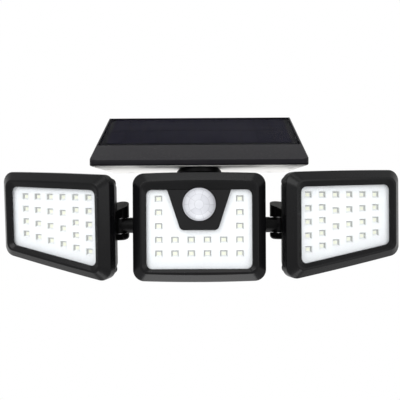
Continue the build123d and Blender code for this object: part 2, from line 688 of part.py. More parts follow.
# ---------------------------------------------------------------- tilt hinge and neck
def tilt_bolt():
    """Bolt through both ears, its hexagon head sunk in the left ear."""
    outer = EAR_SPAN / 2
    head = hexagon(TILT_HEAD_FLATS, TILT_HEAD_T)
    head = Pos(-outer + TILT_HEAD_T / 2, NECK_Y, TILT_Z) * Rot(0, 90, 0) * head
    return head + rod_x(TILT_BOLT_R, -outer + TILT_HEAD_T, outer - TILT_TIP_SUNK, NECK_Y, TILT_Z)


def tilt_nut():
    """Hexagon nut sunk in the right ear."""
    outer = EAR_SPAN / 2
    nut = Pos(outer - TILT_NUT_T / 2, NECK_Y, TILT_Z) * Rot(0, 90, 0) * hexagon(TILT_HEAD_FLATS, TILT_NUT_T)
    return nut - rod_x(TILT_BOLT_R + RUN_FIT, 0, outer + THROUGH, NECK_Y, TILT_Z)


def underside_z():
    """Underside of the base in the centre head's frame."""
    return RIM_Z - BASE_PROUD - CENTRE_Z


def hood_outline(radius, z):
    """Plan of the hood over the tilt hinge: a slot from the neck's axis to its nose."""
    reach = NECK_FRONT - radius
    slot = SlotCenterToCenter(reach, 2 * radius, rotation=90)
    return Pos(0, NECK_Y - reach / 2, z) * slot


def neck_turret():
    """Turning neck: hood that widens downwards, tongue for the tilt bolt and hollow spigot."""
    top = underside_z() - FACE_GAP
    waist = top - NECK_HOOD_T
    foot = waist - NECK_SKIRT_T
    body = loft([hood_outline(NECK_SKIRT_R, waist), hood_outline(NECK_TOP_R, top)], ruled=True)
    body += extrude(hood_outline(NECK_SKIRT_R, foot), amount=NECK_SKIRT_T)
    body += block(-TONGUE_W / 2, TONGUE_W / 2, NECK_Y - TONGUE_R, NECK_Y + TONGUE_R, TILT_Z, foot + ROOT)
    body += rod_x(TONGUE_R, -TONGUE_W / 2, TONGUE_W / 2, NECK_Y, TILT_Z)
    spigot_top = underside_z() + BASE_T + SPIGOT_ABOVE
    body += rod_z(SPIGOT_R, top - ROOT, spigot_top, 0, NECK_Y)
    body -= rod_z(SPIGOT_BORE_R, foot + ROOT, spigot_top + THROUGH, 0, NECK_Y)
    body -= rod_x(TILT_BOLT_R + RUN_FIT, -TONGUE_W, TONGUE_W, NECK_Y, TILT_Z)
    return body - neck_seal()


def neck_seal():
    """Flat ring in the neck's top face."""
    top = underside_z() - FACE_GAP
    ring = rod_z(NECK_SEAL_R + NECK_SEAL_W / 2, top - NECK_SEAL_T, top, 0, NECK_Y)
    return ring - rod_z(NECK_SEAL_R - NECK_SEAL_W / 2, top - 2 * NECK_SEAL_T, top + THROUGH, 0, NECK_Y)


def neck_washer():
    """Washer on the base's inner face."""
    z0 = underside_z() + BASE_T + FACE_GAP
    ring = rod_z(NECK_WASHER_R, z0, z0 + NECK_WASHER_T, 0, NECK_Y)
    return ring - rod_z(SPIGOT_R + RUN_FIT, z0 - THROUGH, z0 + NECK_WASHER_T + THROUGH, 0, NECK_Y)


def neck_nut():
    """Hexagon nut that holds the neck in the base."""
    z0 = underside_z() + BASE_T + FACE_GAP + NECK_WASHER_T
    nut = Pos(0, NECK_Y, z0 + NECK_NUT_T / 2) * hexagon(NECK_NUT_FLATS, NECK_NUT_T)
    return nut - rod_z(SPIGOT_R + RUN_FIT, z0 - THROUGH, z0 + NECK_NUT_T + THROUGH, 0, NECK_Y)


def tilt_washers():
    """Friction washers either side of the tongue."""
    rings = []
    for sign in (-1, 1):
        inner = sign * TONGUE_W / 2
        outer = sign * (TONGUE_W / 2 + TILT_WASHER_T)
        ring = rod_x(TILT_WASHER_R, inner, outer, NECK_Y, TILT_Z)
        rings.append(ring - rod_x(TILT_BOLT_R + RUN_FIT, inner - sign, outer + sign, NECK_Y, TILT_Z))
    return Compound(children=rings)


def neck():
    """All pieces of the neck, in the light's frame."""
    pieces = {
        "neck_turret": neck_turret(),
        "neck_seal": neck_seal(),
        "neck_washer": neck_washer(),
        "neck_nut": neck_nut(),
        "tilt_washers": tilt_washers(),
    }
    return {name: to_centre(part) for name, part in pieces.items()}


# ---------------------------------------------------------------- side heads
def side_led_places():
    """Columns of LEDs that end on the slanted bottom row."""
    places = []
    for column, rows in enumerate(SIDE_LED_ROWS):
        outward = column * SIDE_LED_PITCH
        height = SIDE_COLUMN_H - SIDE_LED_SLANT * outward
        for row in range(rows):
            places.append((INNER_LED_X + outward, SIDE_LED_TOP - height * row / (rows - 1)))
    return places


def side_pads():
    """Places where the rear shell presses on the LED board."""
    return [(INNER_LED_X + x, z) for x, z in SIDE_PADS]


def jaw_root(z0, z1):
    """Web that joins a hinge jaw to the shell's rear inner corner."""
    flank = JAW_R - JAW_ROOT_STEP
    root = [(-flank, PIN_BEHIND), (SIDE_INNER_X + SHELL_WALL, JAW_ROOT_Y), (JAW_ROOT_X, JAW_ROOT_Y),
            (JAW_ROOT_X, SIDE.back_y - ROOT), (flank, PIN_BEHIND)]
    return prism_z(root, z0, z1)


def sloping_cut():
    """Wedge over the upper jaw's sloping top."""
    front_y = PIN_BEHIND - JAW_R
    rear_y = PIN_BEHIND + JAW_R
    rise = (JAW_TOP_REAR - JAW_TOP_FRONT) / (rear_y - front_y)
    start = JAW_ROOT_Y - THROUGH
    high = JAW_TOP_REAR + 2 * JAW_R
    wedge = [(start, JAW_TOP_FRONT - rise * (front_y - start)), (rear_y, JAW_TOP_REAR),
             (rear_y, high), (start, high)]
    return prism_x(wedge, -2 * JAW_R, JAW_ROOT_X + JAW_R)


def hinge_jaws():
    """Lower and upper jaw with the webs that root them in the shell."""
    slot = EYE_HALF + HINGE_WASHER_T
    lower = rod_z(JAW_R, JAW_LOW_Z, -slot, 0, PIN_BEHIND)
    lower = fillet(lower.faces().sort_by(Axis.Z)[0].edges(), JAW_EDGE_R)
    lower += jaw_root(JAW_LOW_Z + JAW_EDGE_R / 3, -slot)
    upper = rod_z(JAW_R, slot, JAW_TOP_REAR, 0, PIN_BEHIND) + jaw_root(slot, JAW_TOP_REAR)
    return lower + (upper - sloping_cut())


def side_rear_shell():
    """Rear shell with the two hinge jaws."""
    slot = EYE_HALF + HINGE_WASHER_T
    body = head_shell(SIDE, side_pads()) + (hinge_jaws() - shell_cavity(SIDE))
    body -= rod_z(ARM_R + JAW_RELIEF, -slot, slot, 0, PIN_BEHIND)
    body -= rod_z(HINGE_PIN_R + RUN_FIT, JAW_LOW_Z - THROUGH, HINGE_PIN_TOP + BLIND_EXTRA, 0, PIN_BEHIND)
    body -= rod_z(HINGE_HEAD_R + COUNTERBORE_SLACK, JAW_LOW_Z - THROUGH, JAW_LOW_Z + HINGE_HEAD_T,
                  0, PIN_BEHIND)
    return body


def hinge_screw():
    """Pin screw from below: flat head in the lower jaw, shank through the arm's eye."""
    face_z = JAW_LOW_Z + HINGE_HEAD_SUNK
    head = rod_z(HINGE_HEAD_R, face_z, JAW_LOW_Z + HINGE_HEAD_T, 0, PIN_BEHIND)
    head -= Pos(0, PIN_BEHIND, face_z) * cross(HINGE_SLOT_HALF, HINGE_SLOT_HALF_W, HINGE_SLOT_DEPTH)
    return head + rod_z(HINGE_PIN_R, JAW_LOW_Z + HINGE_HEAD_T, HINGE_PIN_TOP, 0, PIN_BEHIND)


def hinge_washers():
    """Friction washers above and below the arm's eye."""
    rings = []
    for low in (EYE_HALF, -EYE_HALF - HINGE_WASHER_T):
        ring = rod_z(HINGE_WASHER_R, low, low + HINGE_WASHER_T, 0, PIN_BEHIND)
        bore = rod_z(HINGE_PIN_R + RUN_FIT, low - THROUGH, low + HINGE_WASHER_T + THROUGH, 0, PIN_BEHIND)
        rings.append(ring - bore)
    return Compound(children=rings)


def side_head_pieces():
    """Pieces of a right-hand side head, in the head's own frame."""
    leds = side_led_places()
    return {
        "bezel": head_bezel(SIDE),
        "lens": head_lens(SIDE),
        "reflector": head_reflector(SIDE, leds),
        "led_board": head_plate(SIDE, BOARD_FRONT_Y, BOARD_BACK_Y),
        "leds": head_leds(leds),
        "gasket": head_gasket(SIDE),
        "rear_shell": side_rear_shell(),
        "case_screws": head_screws(SIDE),
        "hinge_screw": hinge_screw(),
        "hinge_washers": hinge_washers(),
    }


# ---------------------------------------------------------------- arms
def arm():
    """Right-hand arm about its own pin: journal in the centre head, eye at the pin."""
    inner = ARM_END - PIN_X
    body = rod_x(ARM_R, inner, 0, 0, 0)
    body += rod_z(ARM_R, -EYE_HALF, EYE_HALF, 0, 0)
    spare = ARM_R - EYE_HALF + THROUGH
    for low in (EYE_HALF, -EYE_HALF - spare):
        body -= rod_z(JAW_R + FLAT_EXTRA, low, low + spare, 0, 0)
    body -= rod_z(HINGE_PIN_R + RUN_FIT, -EYE_HALF - THROUGH, EYE_HALF + THROUGH, 0, 0)
    body -= clip_ring(ARM_CLIP_GROOVE_R, ARM_R + THROUGH)
    body -= seal_ring(ARM_R + THROUGH)
    return body


def clip_ring(inner_r, outer_r):
    """Ring-shaped space of the retaining clip, against the arm boss."""
    x1 = ARM_BOSS_IN - FACE_GAP - PIN_X
    x0 = x1 - ARM_CLIP_T
    return rod_x(outer_r, x0, x1, 0, 0) - rod_x(inner_r, x0 - THROUGH, x1 + THROUGH, 0, 0)


def seal_ring(outer_r):
    """Square groove of the arm's seal."""
    x0 = ARM_SEAL_X - PIN_X - ARM_SEAL_R - ARM_SEAL_SLACK
    x1 = ARM_SEAL_X - PIN_X + ARM_SEAL_R + ARM_SEAL_SLACK
    inner_r = ARM_R - 2 * ARM_SEAL_R
    return rod_x(outer_r, x0, x1, 0, 0) - rod_x(inner_r, x0 - THROUGH, x1 + THROUGH, 0, 0)


def arm_clip():
    """Open retaining ring that keeps the arm in the centre head."""
    ring = clip_ring(ARM_CLIP_GROOVE_R + RUN_FIT, ARM_CLIP_R)
    half = ARM_CLIP_OPENING / 2
    return ring - block(-PIN_X, 0, -half, half, 0, ARM_CLIP_R + THROUGH)


def arm_seal():
    """Rubber ring in the arm's groove."""
    major = ARM_R - ARM_SEAL_R
    return Pos(ARM_SEAL_X - PIN_X, 0, 0) * Rot(0, 90, 0) * Torus(major, ARM_SEAL_R)


def place_arm(part, sign, pitch):
    """Arm frame to the light's frame; sign is -1 for the left side."""
    if sign < 0:
        part = mirror(part, Plane.YZ)
    return Pos(sign * PIN_X, CENTRE_Y + ARM_Y, CENTRE_Z) * Rot(pitch, 0, 0) * part


def place_side(part, sign, yaw, pitch):
    """Side head frame to the light's frame: pin on the arm's end, turned outward."""
    part = Pos(0, -PIN_BEHIND, 0) * part
    if sign < 0:
        part = mirror(part, Plane.YZ)
    part = Rot(0, 0, sign * yaw) * part
    return Pos(sign * PIN_X, CENTRE_Y + ARM_Y, CENTRE_Z) * Rot(pitch, 0, 0) * part


def sides():
    """Both arms and side heads, in the light's frame."""
    arm_pieces = {"arm": arm(), "arm_seal": arm_seal(), "arm_clip": arm_clip()}
    head_pieces = side_head_pieces()
    pieces = {}
    for name, sign, yaw, pitch in (("left_", -1, LEFT_YAW, LEFT_PITCH), ("right_", 1, RIGHT_YAW, RIGHT_PITCH)):
        for piece, part in arm_pieces.items():
            pieces[name + piece] = place_arm(part, sign, pitch)
        for piece, part in head_pieces.items():
            pieces[name + piece] = place_side(part, sign, yaw, pitch)
    return pieces


# ---------------------------------------------------------------- housing
def inset_profile(points, margins):
    """Clockwise polygon with each edge moved inward by its own margin."""
    lines = []
    for index, margin in enumerate(margins):
        start = Vector(*points[index])
        along = (Vector(*points[(index + 1) % len(points)]) - start).normalized()
        lines.append((start + Vector(along.Y, -along.X) * margin, along))
    moved = []
    for index in range(len(points)):
        (p, u), (q, v) = lines[index - 1], lines[index]
        step = (q - p).cross(v).Z / u.cross(v).Z
        corner = p + u * step
        moved.append((corner.X, corner.Y))
    return moved


def lip_z():
    """Height of the front lip, where the sloping top starts."""
    return RIM_Z + FRONT_LIP_H


def housing_profile(margin):
    """Side profile of the wedge as (y, z) points, its closed sides moved inward by margin."""
    points = [(-HOUSING_D, RIM_Z), (-HOUSING_D, lip_z()), (BACK_TOP_Y, BACK_TOP_Z),
              (0, REAR_BEVEL_Z), (0, RIM_Z)]
    return inset_profile(points, [margin, margin, margin, margin, 0])


def slope_plane():
    """Frame on the sloping top: x across, y up the slope, z out of the surface."""
    direction = Vector(0, HOUSING_D + BACK_TOP_Y, BACK_TOP_Z - lip_z())
    normal = Vector(1, 0, 0).cross(direction)
    return Plane(origin=(0, -HOUSING_D, lip_z()), x_dir=(1, 0, 0), z_dir=normal)


def slope_length():
    """Length of the sloping top from the lip to its rear edge."""
    return math.hypot(HOUSING_D + BACK_TOP_Y, BACK_TOP_Z - lip_z())


def panel_slab(shrink, z0, z1, corner_r):
    """Rectangle of the panel on the slope, between two heights over its surface."""
    width = HOUSING_W - 2 * (PANEL_SIDE_RIM + shrink)
    low = BAND_LENGTH + shrink
    high = slope_length() - PANEL_REAR_RIM - shrink
    sketch = Pos(0, (low + high) / 2) * RectangleRounded(width, high - low, corner_r)
    return slope_plane() * Pos(0, 0, z0) * extrude(sketch, amount=z1 - z0)


def panel_levels():
    """Heights of the glass, cells, backing and seat under the sloping top."""
    glass_top = -PANEL_SUNK
    glass_low = glass_top - GLASS_T
    cell_low = glass_low - CELL_T
    backing_low = cell_low - BACKING_T
    seat = backing_low - PANEL_SEAL_T
    return glass_top, glass_low, cell_low, backing_low, seat


def base_outline(gap):
    """Plan of the base inside the rim as x half width, front y and rear y."""
    half = HOUSING_W / 2 - HOUSING_WALL - gap
    return half, -HOUSING_D + HOUSING_WALL + gap, -HOUSING_WALL - gap


def base_top():
    """Inner face of the base."""
    return RIM_Z - BASE_PROUD + BASE_T


def rim_plate(gap, z0, z1):
    """Plate inside the rim, its front corners rounded with the wedge's."""
    half, front, rear = base_outline(gap)
    plate = block(-half, half, front, rear, z0, z1)
    return fillet(plate.edges().filter_by(Axis.Z).sort_by(Axis.Y)[:2], HOUSING_CORNER_R - HOUSING_WALL - gap)


def rim_frame(gap, width, front_width, z0, z1):
    """Frame along the inside of the rim."""
    half, front, rear = base_outline(gap)
    opening = block(-half + width, half - width, front + front_width, rear - width,
                    z0 - THROUGH, z1 + THROUGH)
    return rim_plate(gap, z0, z1) - opening


def base_screw_places():
    half = HOUSING_W / 2
    right = ((half - BASE_SCREW_SIDE, BASE_SCREW_FRONT - HOUSING_D),
             (half - BASE_REAR_SCREW_SIDE, -BASE_REAR_SCREW_WALL))
    return [(sign * x, y) for sign in (-1, 1) for x, y in right]


def keyhole(x):
    """Round entry with a narrow slot above it, through the rear wall."""
    inside = -HOUSING_WALL - THROUGH
    cut = rod_y(KEYHOLE_R, inside, THROUGH, x, 0)
    cut += rod_y(KEYHOLE_SLOT_R, inside, THROUGH, x, KEYHOLE_DROP)
    return cut + block(x - KEYHOLE_SLOT_R, x + KEYHOLE_SLOT_R, inside, THROUGH, 0, KEYHOLE_DROP)


def wedge_body():
    """Solid wedge with rounded front corners, top edges and lower rim."""
    half = HOUSING_W / 2
    body = prism_x(housing_profile(0), -half, half)
    body = fillet(body.edges().filter_by(Axis.Z).sort_by(Axis.Y)[:2], HOUSING_CORNER_R)
    top = body.faces().filter_by(GeomType.PLANE).sort_by(Axis.Z)
    slope = [f for f in top if f.normal_at().Y < 0 < f.normal_at().Z][-1]
    body = fillet(slope.edges(), HOUSING_EDGE_R)
    underside = body.faces().sort_by(Axis.Z)[0]
    return fillet(underside.edges().filter_by(lambda e: e.center().Y < -LEVEL_TOL), RIM_UNDER_R)


def base_posts():
    """Screw posts inside the wedge, kept out of the panel's seat."""
    half = (HOUSING_W - HOUSING_WALL) / 2
    inside = prism_x(housing_profile(HOUSING_WALL / 2), -half, half)
    inside -= panel_slab(-HOUSING_WALL, panel_levels()[-1] - ROOT, THROUGH, PANEL_CORNER_R)
    return [rod_z(BASE_POST_R, base_top(), BACK_TOP_Z, x, y) & inside for x, y in base_screw_places()]


def panel_housing():
    """Black wedge shell, open below, with the panel's seat and the keyholes."""
    half = HOUSING_W / 2 - HOUSING_WALL
    seat = panel_levels()[-1]
    cavity = prism_x(housing_profile(HOUSING_WALL), -half, half)
    corners = cavity.edges().filter_by(Axis.Z).sort_by(Axis.Y)[:2]
    cavity = fillet(corners, HOUSING_CORNER_R - HOUSING_WALL)
    cavity -= panel_slab(-HOUSING_WALL, seat - PANEL_SEAT_FLOOR, THROUGH, PANEL_CORNER_R)
    body = wedge_body() - cavity - panel_slab(0, seat, THROUGH, PANEL_CORNER_R)
    ledge_z = base_top() + HOUSING_SEAL_T
    body += rim_frame(0, BASE_LEDGE_W, BASE_LEDGE_W + SEAL_SETBACK, ledge_z, ledge_z + BASE_LEDGE_T)
    body += base_posts()
    hole_top = base_top() + SCREW_BITE + BLIND_EXTRA
    body -= [rod_z(SCREW_R + RUN_FIT, base_top() - THROUGH, hole_top, x, y) for x, y in base_screw_places()]
    body -= [keyhole(sign * KEYHOLE_SPACING / 2) for sign in (-1, 1)]
    lead_hole = Cylinder(LEAD_HOLE_R, 2 * (PANEL_SEAT_FLOOR + THROUGH))
    return body - slope_plane() * Pos(0, slope_length() / 2, seat) * lead_hole


def housing_base():
    """Light grey underside plate with the neck's hole and board standoffs."""
    low = RIM_Z - BASE_PROUD
    body = rim_plate(SLIP, low, base_top())
    body = fillet(body.edges().filter_by(Axis.Z).sort_by(Axis.Y)[-2:], BASE_REAR_CORNER_R)
    body = fillet(body.faces().sort_by(Axis.Z)[0].edges(), BASE_PROUD / 2)
    body -= rod_z(SPIGOT_R + RUN_FIT, low - THROUGH, base_top() + THROUGH, 0, CENTRE_Y + NECK_Y)
    for x, y in base_screw_places():
        body -= rod_z(SCREW_R + RUN_FIT, low - THROUGH, base_top() + THROUGH, x, y)
        body -= rod_z(SCREW_HEAD_R + COUNTERBORE_SLACK, low - THROUGH, low + BASE_COUNTERBORE, x, y)
    for x, y in charge_board_posts():
        body += rod_z(STANDOFF_R, base_top() - ROOT, base_top() + STANDOFF_H, x, y)
    return body


def base_screws():
    """Screws that close the housing from below."""
    seat = RIM_Z - BASE_PROUD + BASE_COUNTERBORE
    face_z = seat - BASE_HEAD_H
    screws = []
    for x, y in base_screw_places():
        head = rod_z(SCREW_HEAD_R, face_z, seat, x, y)
        head -= Pos(x, y, face_z) * cross(RECESS_HALF, RECESS_HALF_W, BASE_HEAD_H / 2)
        screws.append(head + rod_z(SCREW_R, seat, base_top() + SCREW_BITE, x, y))
    return Compound(children=screws)


def charge_board_posts():
    dx = CHARGE_BOARD_W / 2 - STANDOFF_INSET
    dy = CHARGE_BOARD_D / 2 - STANDOFF_INSET
    return [(CHARGE_BOARD_X + sx * dx, CHARGE_BOARD_Y + sy * dy) for sx in (-1, 1) for sy in (-1, 1)]


def charge_board():
    low = base_top() + STANDOFF_H
    half_w = CHARGE_BOARD_W / 2
    half_d = CHARGE_BOARD_D / 2
    return block(CHARGE_BOARD_X - half_w, CHARGE_BOARD_X + half_w,
                 CHARGE_BOARD_Y - half_d, CHARGE_BOARD_Y + half_d, low, low + BOARD_T)


def battery_z():
    return base_top() + HOLDER_WALL + BATTERY_R + SLIP


def battery_ys():
    """Axes of the two cells, side by side in front of the rear wall."""
    bay = BATTERY_R + SLIP
    rear = -HOUSING_WALL - BASE_LEDGE_W - HOLDER_REAR_GAP - HOLDER_WALL - bay
    return [rear, rear - 2 * bay - BATTERY_DIVIDER]


def battery_cells():
    """Two round cells side by side."""
    half = BATTERY_L / 2
    return Compound(children=[rod_x(BATTERY_R, -half, half, y, battery_z()) for y in battery_ys()])


def battery_holder():
    """Open tray with one bay for each cell."""
    bay = BATTERY_R + SLIP
    bay_half = BATTERY_L / 2 + SLIP
    rear_y, front_y = battery_ys()
    half_x = bay_half + HOLDER_WALL
    reach = bay + HOLDER_WALL
    tray = block(-half_x, half_x, front_y - reach, rear_y + reach, base_top(), base_top() + HOLDER_H)
    for y in battery_ys():
        tray -= rod_x(bay, -bay_half, bay_half, y, battery_z())
        tray -= block(-bay_half, bay_half, y - bay, y + bay, battery_z(), battery_z() + bay)
    return tray


def solar_cells():
    """Rows of thin cells under the glass."""
    cell_low = panel_levels()[2]
    low = BAND_LENGTH + CELL_FRONT_MARGIN
    high = slope_length() - PANEL_REAR_RIM - CELL_REAR_MARGIN
    length = (high - low - CELL_ROW_GAP * (CELL_ROWS - 1)) / CELL_ROWS
    cells = []
    for row in range(CELL_ROWS):
        y = low + length / 2 + row * (length + CELL_ROW_GAP)
        for column in range(CELL_COLUMNS):
            x = (column - (CELL_COLUMNS - 1) / 2) * CELL_PITCH
            cell = Box(CELL_PITCH - CELL_GAP, length, CELL_T)
            cells.append(slope_plane() * Pos(x, y, cell_low + CELL_T / 2) * cell)
    return Compound(children=cells)


def panel_seal():
    """Foam ring between the panel and its seat."""
    top, low = panel_levels()[3:]
    ring = panel_slab(SLIP, low, top, PANEL_CORNER_R - SLIP)
    return ring - panel_slab(PANEL_SEAL_W, low - THROUGH, top + THROUGH, PANEL_CORNER_R / 2)


def housing_seal():
    """Rubber frame between the base and the ledge."""
    z0 = base_top()
    z1 = z0 + HOUSING_SEAL_T
    width = HOUSING_SEAL_W
    frame = rim_frame(SLIP, width, SEAL_SETBACK + width, z0, z1)
    half, front = base_outline(0)[:2]
    frame -= block(-half, half, front, front + SEAL_SETBACK, z0 - THROUGH, z1 + THROUGH)
    posts = [rod_z(BASE_POST_R + SLIP, z0 - THROUGH, z1 + THROUGH, x, y) for x, y in base_screw_places()]
    return frame - posts


def housing():
    """All pieces of the fixed housing, in the light's frame."""
    glass_top, glass_low, cell_low, backing_low = panel_levels()[:4]
    glass_r = PANEL_CORNER_R - SLIP
    return {
        "panel_housing": panel_housing(),
        "panel_glass": panel_slab(SLIP, glass_low, glass_top, glass_r),
        "solar_cells": solar_cells(),
        "panel_backing": panel_slab(SLIP, backing_low, cell_low, glass_r),
        "panel_seal": panel_seal(),
        "housing_base": housing_base(),
        "housing_seal": housing_seal(),
        "base_screws": base_screws(),
        "charge_board": charge_board(),
        "battery_cells": battery_cells(),
        "battery_holder": battery_holder(),
    }


def main():
    os.makedirs("parts", exist_ok=True)
    pieces = {}
    pieces.update(housing())
    pieces.update(neck())
    pieces.update(centre_head())
    pieces.update(sides())
    for name, shape in pieces.items():
        export_step(shape, "parts/" + name + ".step")


main()
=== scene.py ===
import math

import bmesh
import bpy
from mathutils import Matrix, Vector


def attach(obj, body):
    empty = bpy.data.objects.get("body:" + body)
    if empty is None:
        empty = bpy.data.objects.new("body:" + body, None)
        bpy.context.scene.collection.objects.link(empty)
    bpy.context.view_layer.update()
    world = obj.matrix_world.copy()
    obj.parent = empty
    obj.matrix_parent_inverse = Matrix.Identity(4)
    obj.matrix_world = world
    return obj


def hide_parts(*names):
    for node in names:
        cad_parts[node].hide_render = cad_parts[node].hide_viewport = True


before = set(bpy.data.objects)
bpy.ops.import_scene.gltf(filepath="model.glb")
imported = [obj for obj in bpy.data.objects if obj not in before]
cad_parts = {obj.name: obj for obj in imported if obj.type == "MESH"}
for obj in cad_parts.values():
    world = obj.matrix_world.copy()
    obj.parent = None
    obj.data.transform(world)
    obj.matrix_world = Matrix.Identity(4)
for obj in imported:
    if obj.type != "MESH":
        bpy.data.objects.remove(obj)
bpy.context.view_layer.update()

MM = 0.001

# ------------------------------------------------------------------ sizes shared with the CAD, in mm
CENTRE_AT = (0.0, -97.0, -67.0)      # LED faces of the centre head, middle of its grid
PIN_AT = (59.3, -80.0, -67.0)        # hinge pin of the right side head
PIN_BEHIND = 21.7                    # pin behind the LED faces
YAW = {"left": 20.5, "right": 16.5}
PITCH = {"left": 4.0, "right": 0.0}

LED_W = 3.5
LED_H = 2.9
LED_BACK = 1.0                       # package behind the LED faces
POCKET_MOUTH = (5.6, 5.0)            # pocket of an LED at the reflector's front
POCKET_FLOOR = (3.4, 2.8)
POCKET_RIM = 0.2
POCKET_FRONT = -1.6                  # rim, just proud of the reflector
POCKET_DEPTH = 2.1
POCKET_BACK = 1.1
POCKET_LIP = 0.08                    # rounding of the mouth
LED_EDGE = 0.1                       # rounding of a package
LED_WALL = 0.16                      # white wall round the phosphor
LED_CUP = 0.12                       # depth of the phosphor
CENTRE_COLUMNS = 6
CENTRE_ROWS = 5
CENTRE_LOW_ROWS = 2
CENTRE_PITCH = (11.5, 9.7)
SIDE_ROWS = (5, 5, 4, 4, 4, 4)
SIDE_PITCH = 10.96
SIDE_FIRST = (11.65, 21.8)           # inner top LED
SIDE_COLUMN_H = 38.6
SIDE_SLANT = 0.193

DOME_R = 11.6
DOME_RISE = 8.5
DOME_Z = 15.5
DOME_BASE_Y = -5.1
DOME_FLANGE_Y = -2.5
DOME_BACK_Y = -1.5
DOME_FLANGE_R = 14.0
DOME_MOUTH = 0.75                    # open back's share of the flange
DOME_SIDES = 72
DOME_RINGS = 64
WINDOW_GAP = 0.25                    # window's back in front of what lies under it
GLASS_GAP = 0.1
WINDOW_EDGE = 0.2                    # rounding of a window
PANEL_NORMAL = (0.0, -43.2, 81.3)    # out of the panel's slope

FACET_RINGS = ((0.0, 0.27, 1), (0.27, 0.62, 5), (0.62, 0.9, 10))      # from, to, facets
FACET_GROOVE = 0.16                  # half width of a groove between facets
FACET_RIDGE = 0.7
CELL_PITCH = 13.1545
CELL_ROW_Y = -39.6                   # gap between the two rows of cells
FINGER_PITCH = 1.3
FINGER_HALF = 0.09                   # half a finger's share of its pitch

# ------------------------------------------------------------------ camera, light and stage
CAMERA_AT = (3.0, -451.8, -48.5)     # mm, level with the gap over the heads
CAMERA_LENS = 45.0
SENSOR = 36.0
CAMERA_ROLL = -0.32                  # degrees
CAMERA_PAN = 0.385
FLOOR_Z = -420.0
FLOOR_SIZE = 9000.0
FLOOR_TONE = (0.8, 0.8, 0.8)
WORLD_LIGHT = 0.63                   # diffuse light only; camera, gloss and glass see full white
LAMPS = (
    # name, place in mm, aim in mm, size in mm, power in W
    ("softbox", (0, -330, 650), (0, -95, -60), 350, 1.0),
    ("key", (-450, -900, 450), (0, -90, -50), 700, 6.0),
    ("fill", (600, -900, 100), (0, -90, -50), 700, 2.6),
    ("under", (0, -110, -400), (0, -60, -24), 300, 1.1),
)


def clear_selection():
    bpy.ops.object.select_all(action="DESELECT")


def make_active(obj):
    clear_selection()
    obj.select_set(True)
    bpy.context.view_layer.objects.active = obj


# ------------------------------------------------------------------ modelling helpers
def start_block(name, low, high):
    """Box between two corners in mm, ready for edit mode."""
    clear_selection()
    bpy.ops.mesh.primitive_cube_add(size=1, location=[(a + b) / 2 * MM for a, b in zip(low, high)])
    block = bpy.context.object
    block.name = name
    block.scale = [(b - a) * MM for a, b in zip(low, high)]
    bpy.ops.object.transform_apply(location=True, rotation=True, scale=True)
    return block


def begin_edit(obj, mode="FACE"):
    make_active(obj)
    bpy.ops.object.mode_set(mode="EDIT")
    bpy.ops.mesh.select_mode(type=mode)


def end_edit():
    bpy.ops.object.mode_set(mode="OBJECT")


def pick_faces(obj, wanted):
    """Select only the faces that pass the test."""
    mesh = bmesh.from_edit_mesh(obj.data)
    for face in mesh.faces:
        face.select_set(False)
    for face in mesh.faces:
        if wanted(face):
            face.select_set(True)
    bmesh.update_edit_mesh(obj.data)


def pick_edges(obj, wanted):
    """Select only the edges that pass the test."""
    mesh = bmesh.from_edit_mesh(obj.data)
    for edge in mesh.edges:
        edge.select_set(False)
    for edge in mesh.edges:
        if wanted(edge):
            edge.select_set(True)
    bmesh.update_edit_mesh(obj.data)


def paint_faces(obj, slot, wanted):
    """Give the faces that pass the test a material slot."""
    mesh = bmesh.from_edit_mesh(obj.data)
    for face in mesh.faces:
        if wanted(face):
            face.material_index = slot
    bmesh.update_edit_mesh(obj.data)


def push_faces(step):
    """Extrude the selected faces by a step in mm."""
    value = Vector(step) * MM
    bpy.ops.mesh.extrude_region_move(TRANSFORM_OT_translate={"value": value})


def add_slots(obj, *materials):
    for material in materials:
        obj.data.materials.append(material)


def smooth(obj, angle=35.0):
    make_active(obj)
    bpy.ops.object.shade_smooth_by_angle(angle=math.radians(angle))


def repeat_model(model, places, name):
    """One mesh of copies of a model, one at each place; the model itself goes."""
    copies = []
    for place in places:
        copy = model.copy()
        copy.data = model.data.copy()
        bpy.context.scene.collection.objects.link(copy)
        copy.data.transform(place)
        copies.append(copy)
    clear_selection()
    for copy in copies:
        copy.select_set(True)
    bpy.context.view_layer.objects.active = copies[0]
    bpy.ops.object.join()
    piece = copies[0]
    piece.name = name
    piece.data.name = name
    bpy.data.objects.remove(model)
    return piece


def head_frame(side):
    """Place of a head: origin in its LED plane, y to the rear."""
    if side == "centre":
        return Matrix.Translation(Vector(CENTRE_AT) * MM)
    sign = -1 if side == "left" else 1
    pitch = Matrix.Rotation(math.radians(PITCH[side]), 4, "X")
    yaw = Matrix.Rotation(math.radians(sign * YAW[side]), 4, "Z")
    pin = Vector((sign * PIN_AT[0], PIN_AT[1], PIN_AT[2])) * MM
    return Matrix.Translation(pin) @ pitch @ yaw @ Matrix.Translation((0, -PIN_BEHIND * MM, 0))


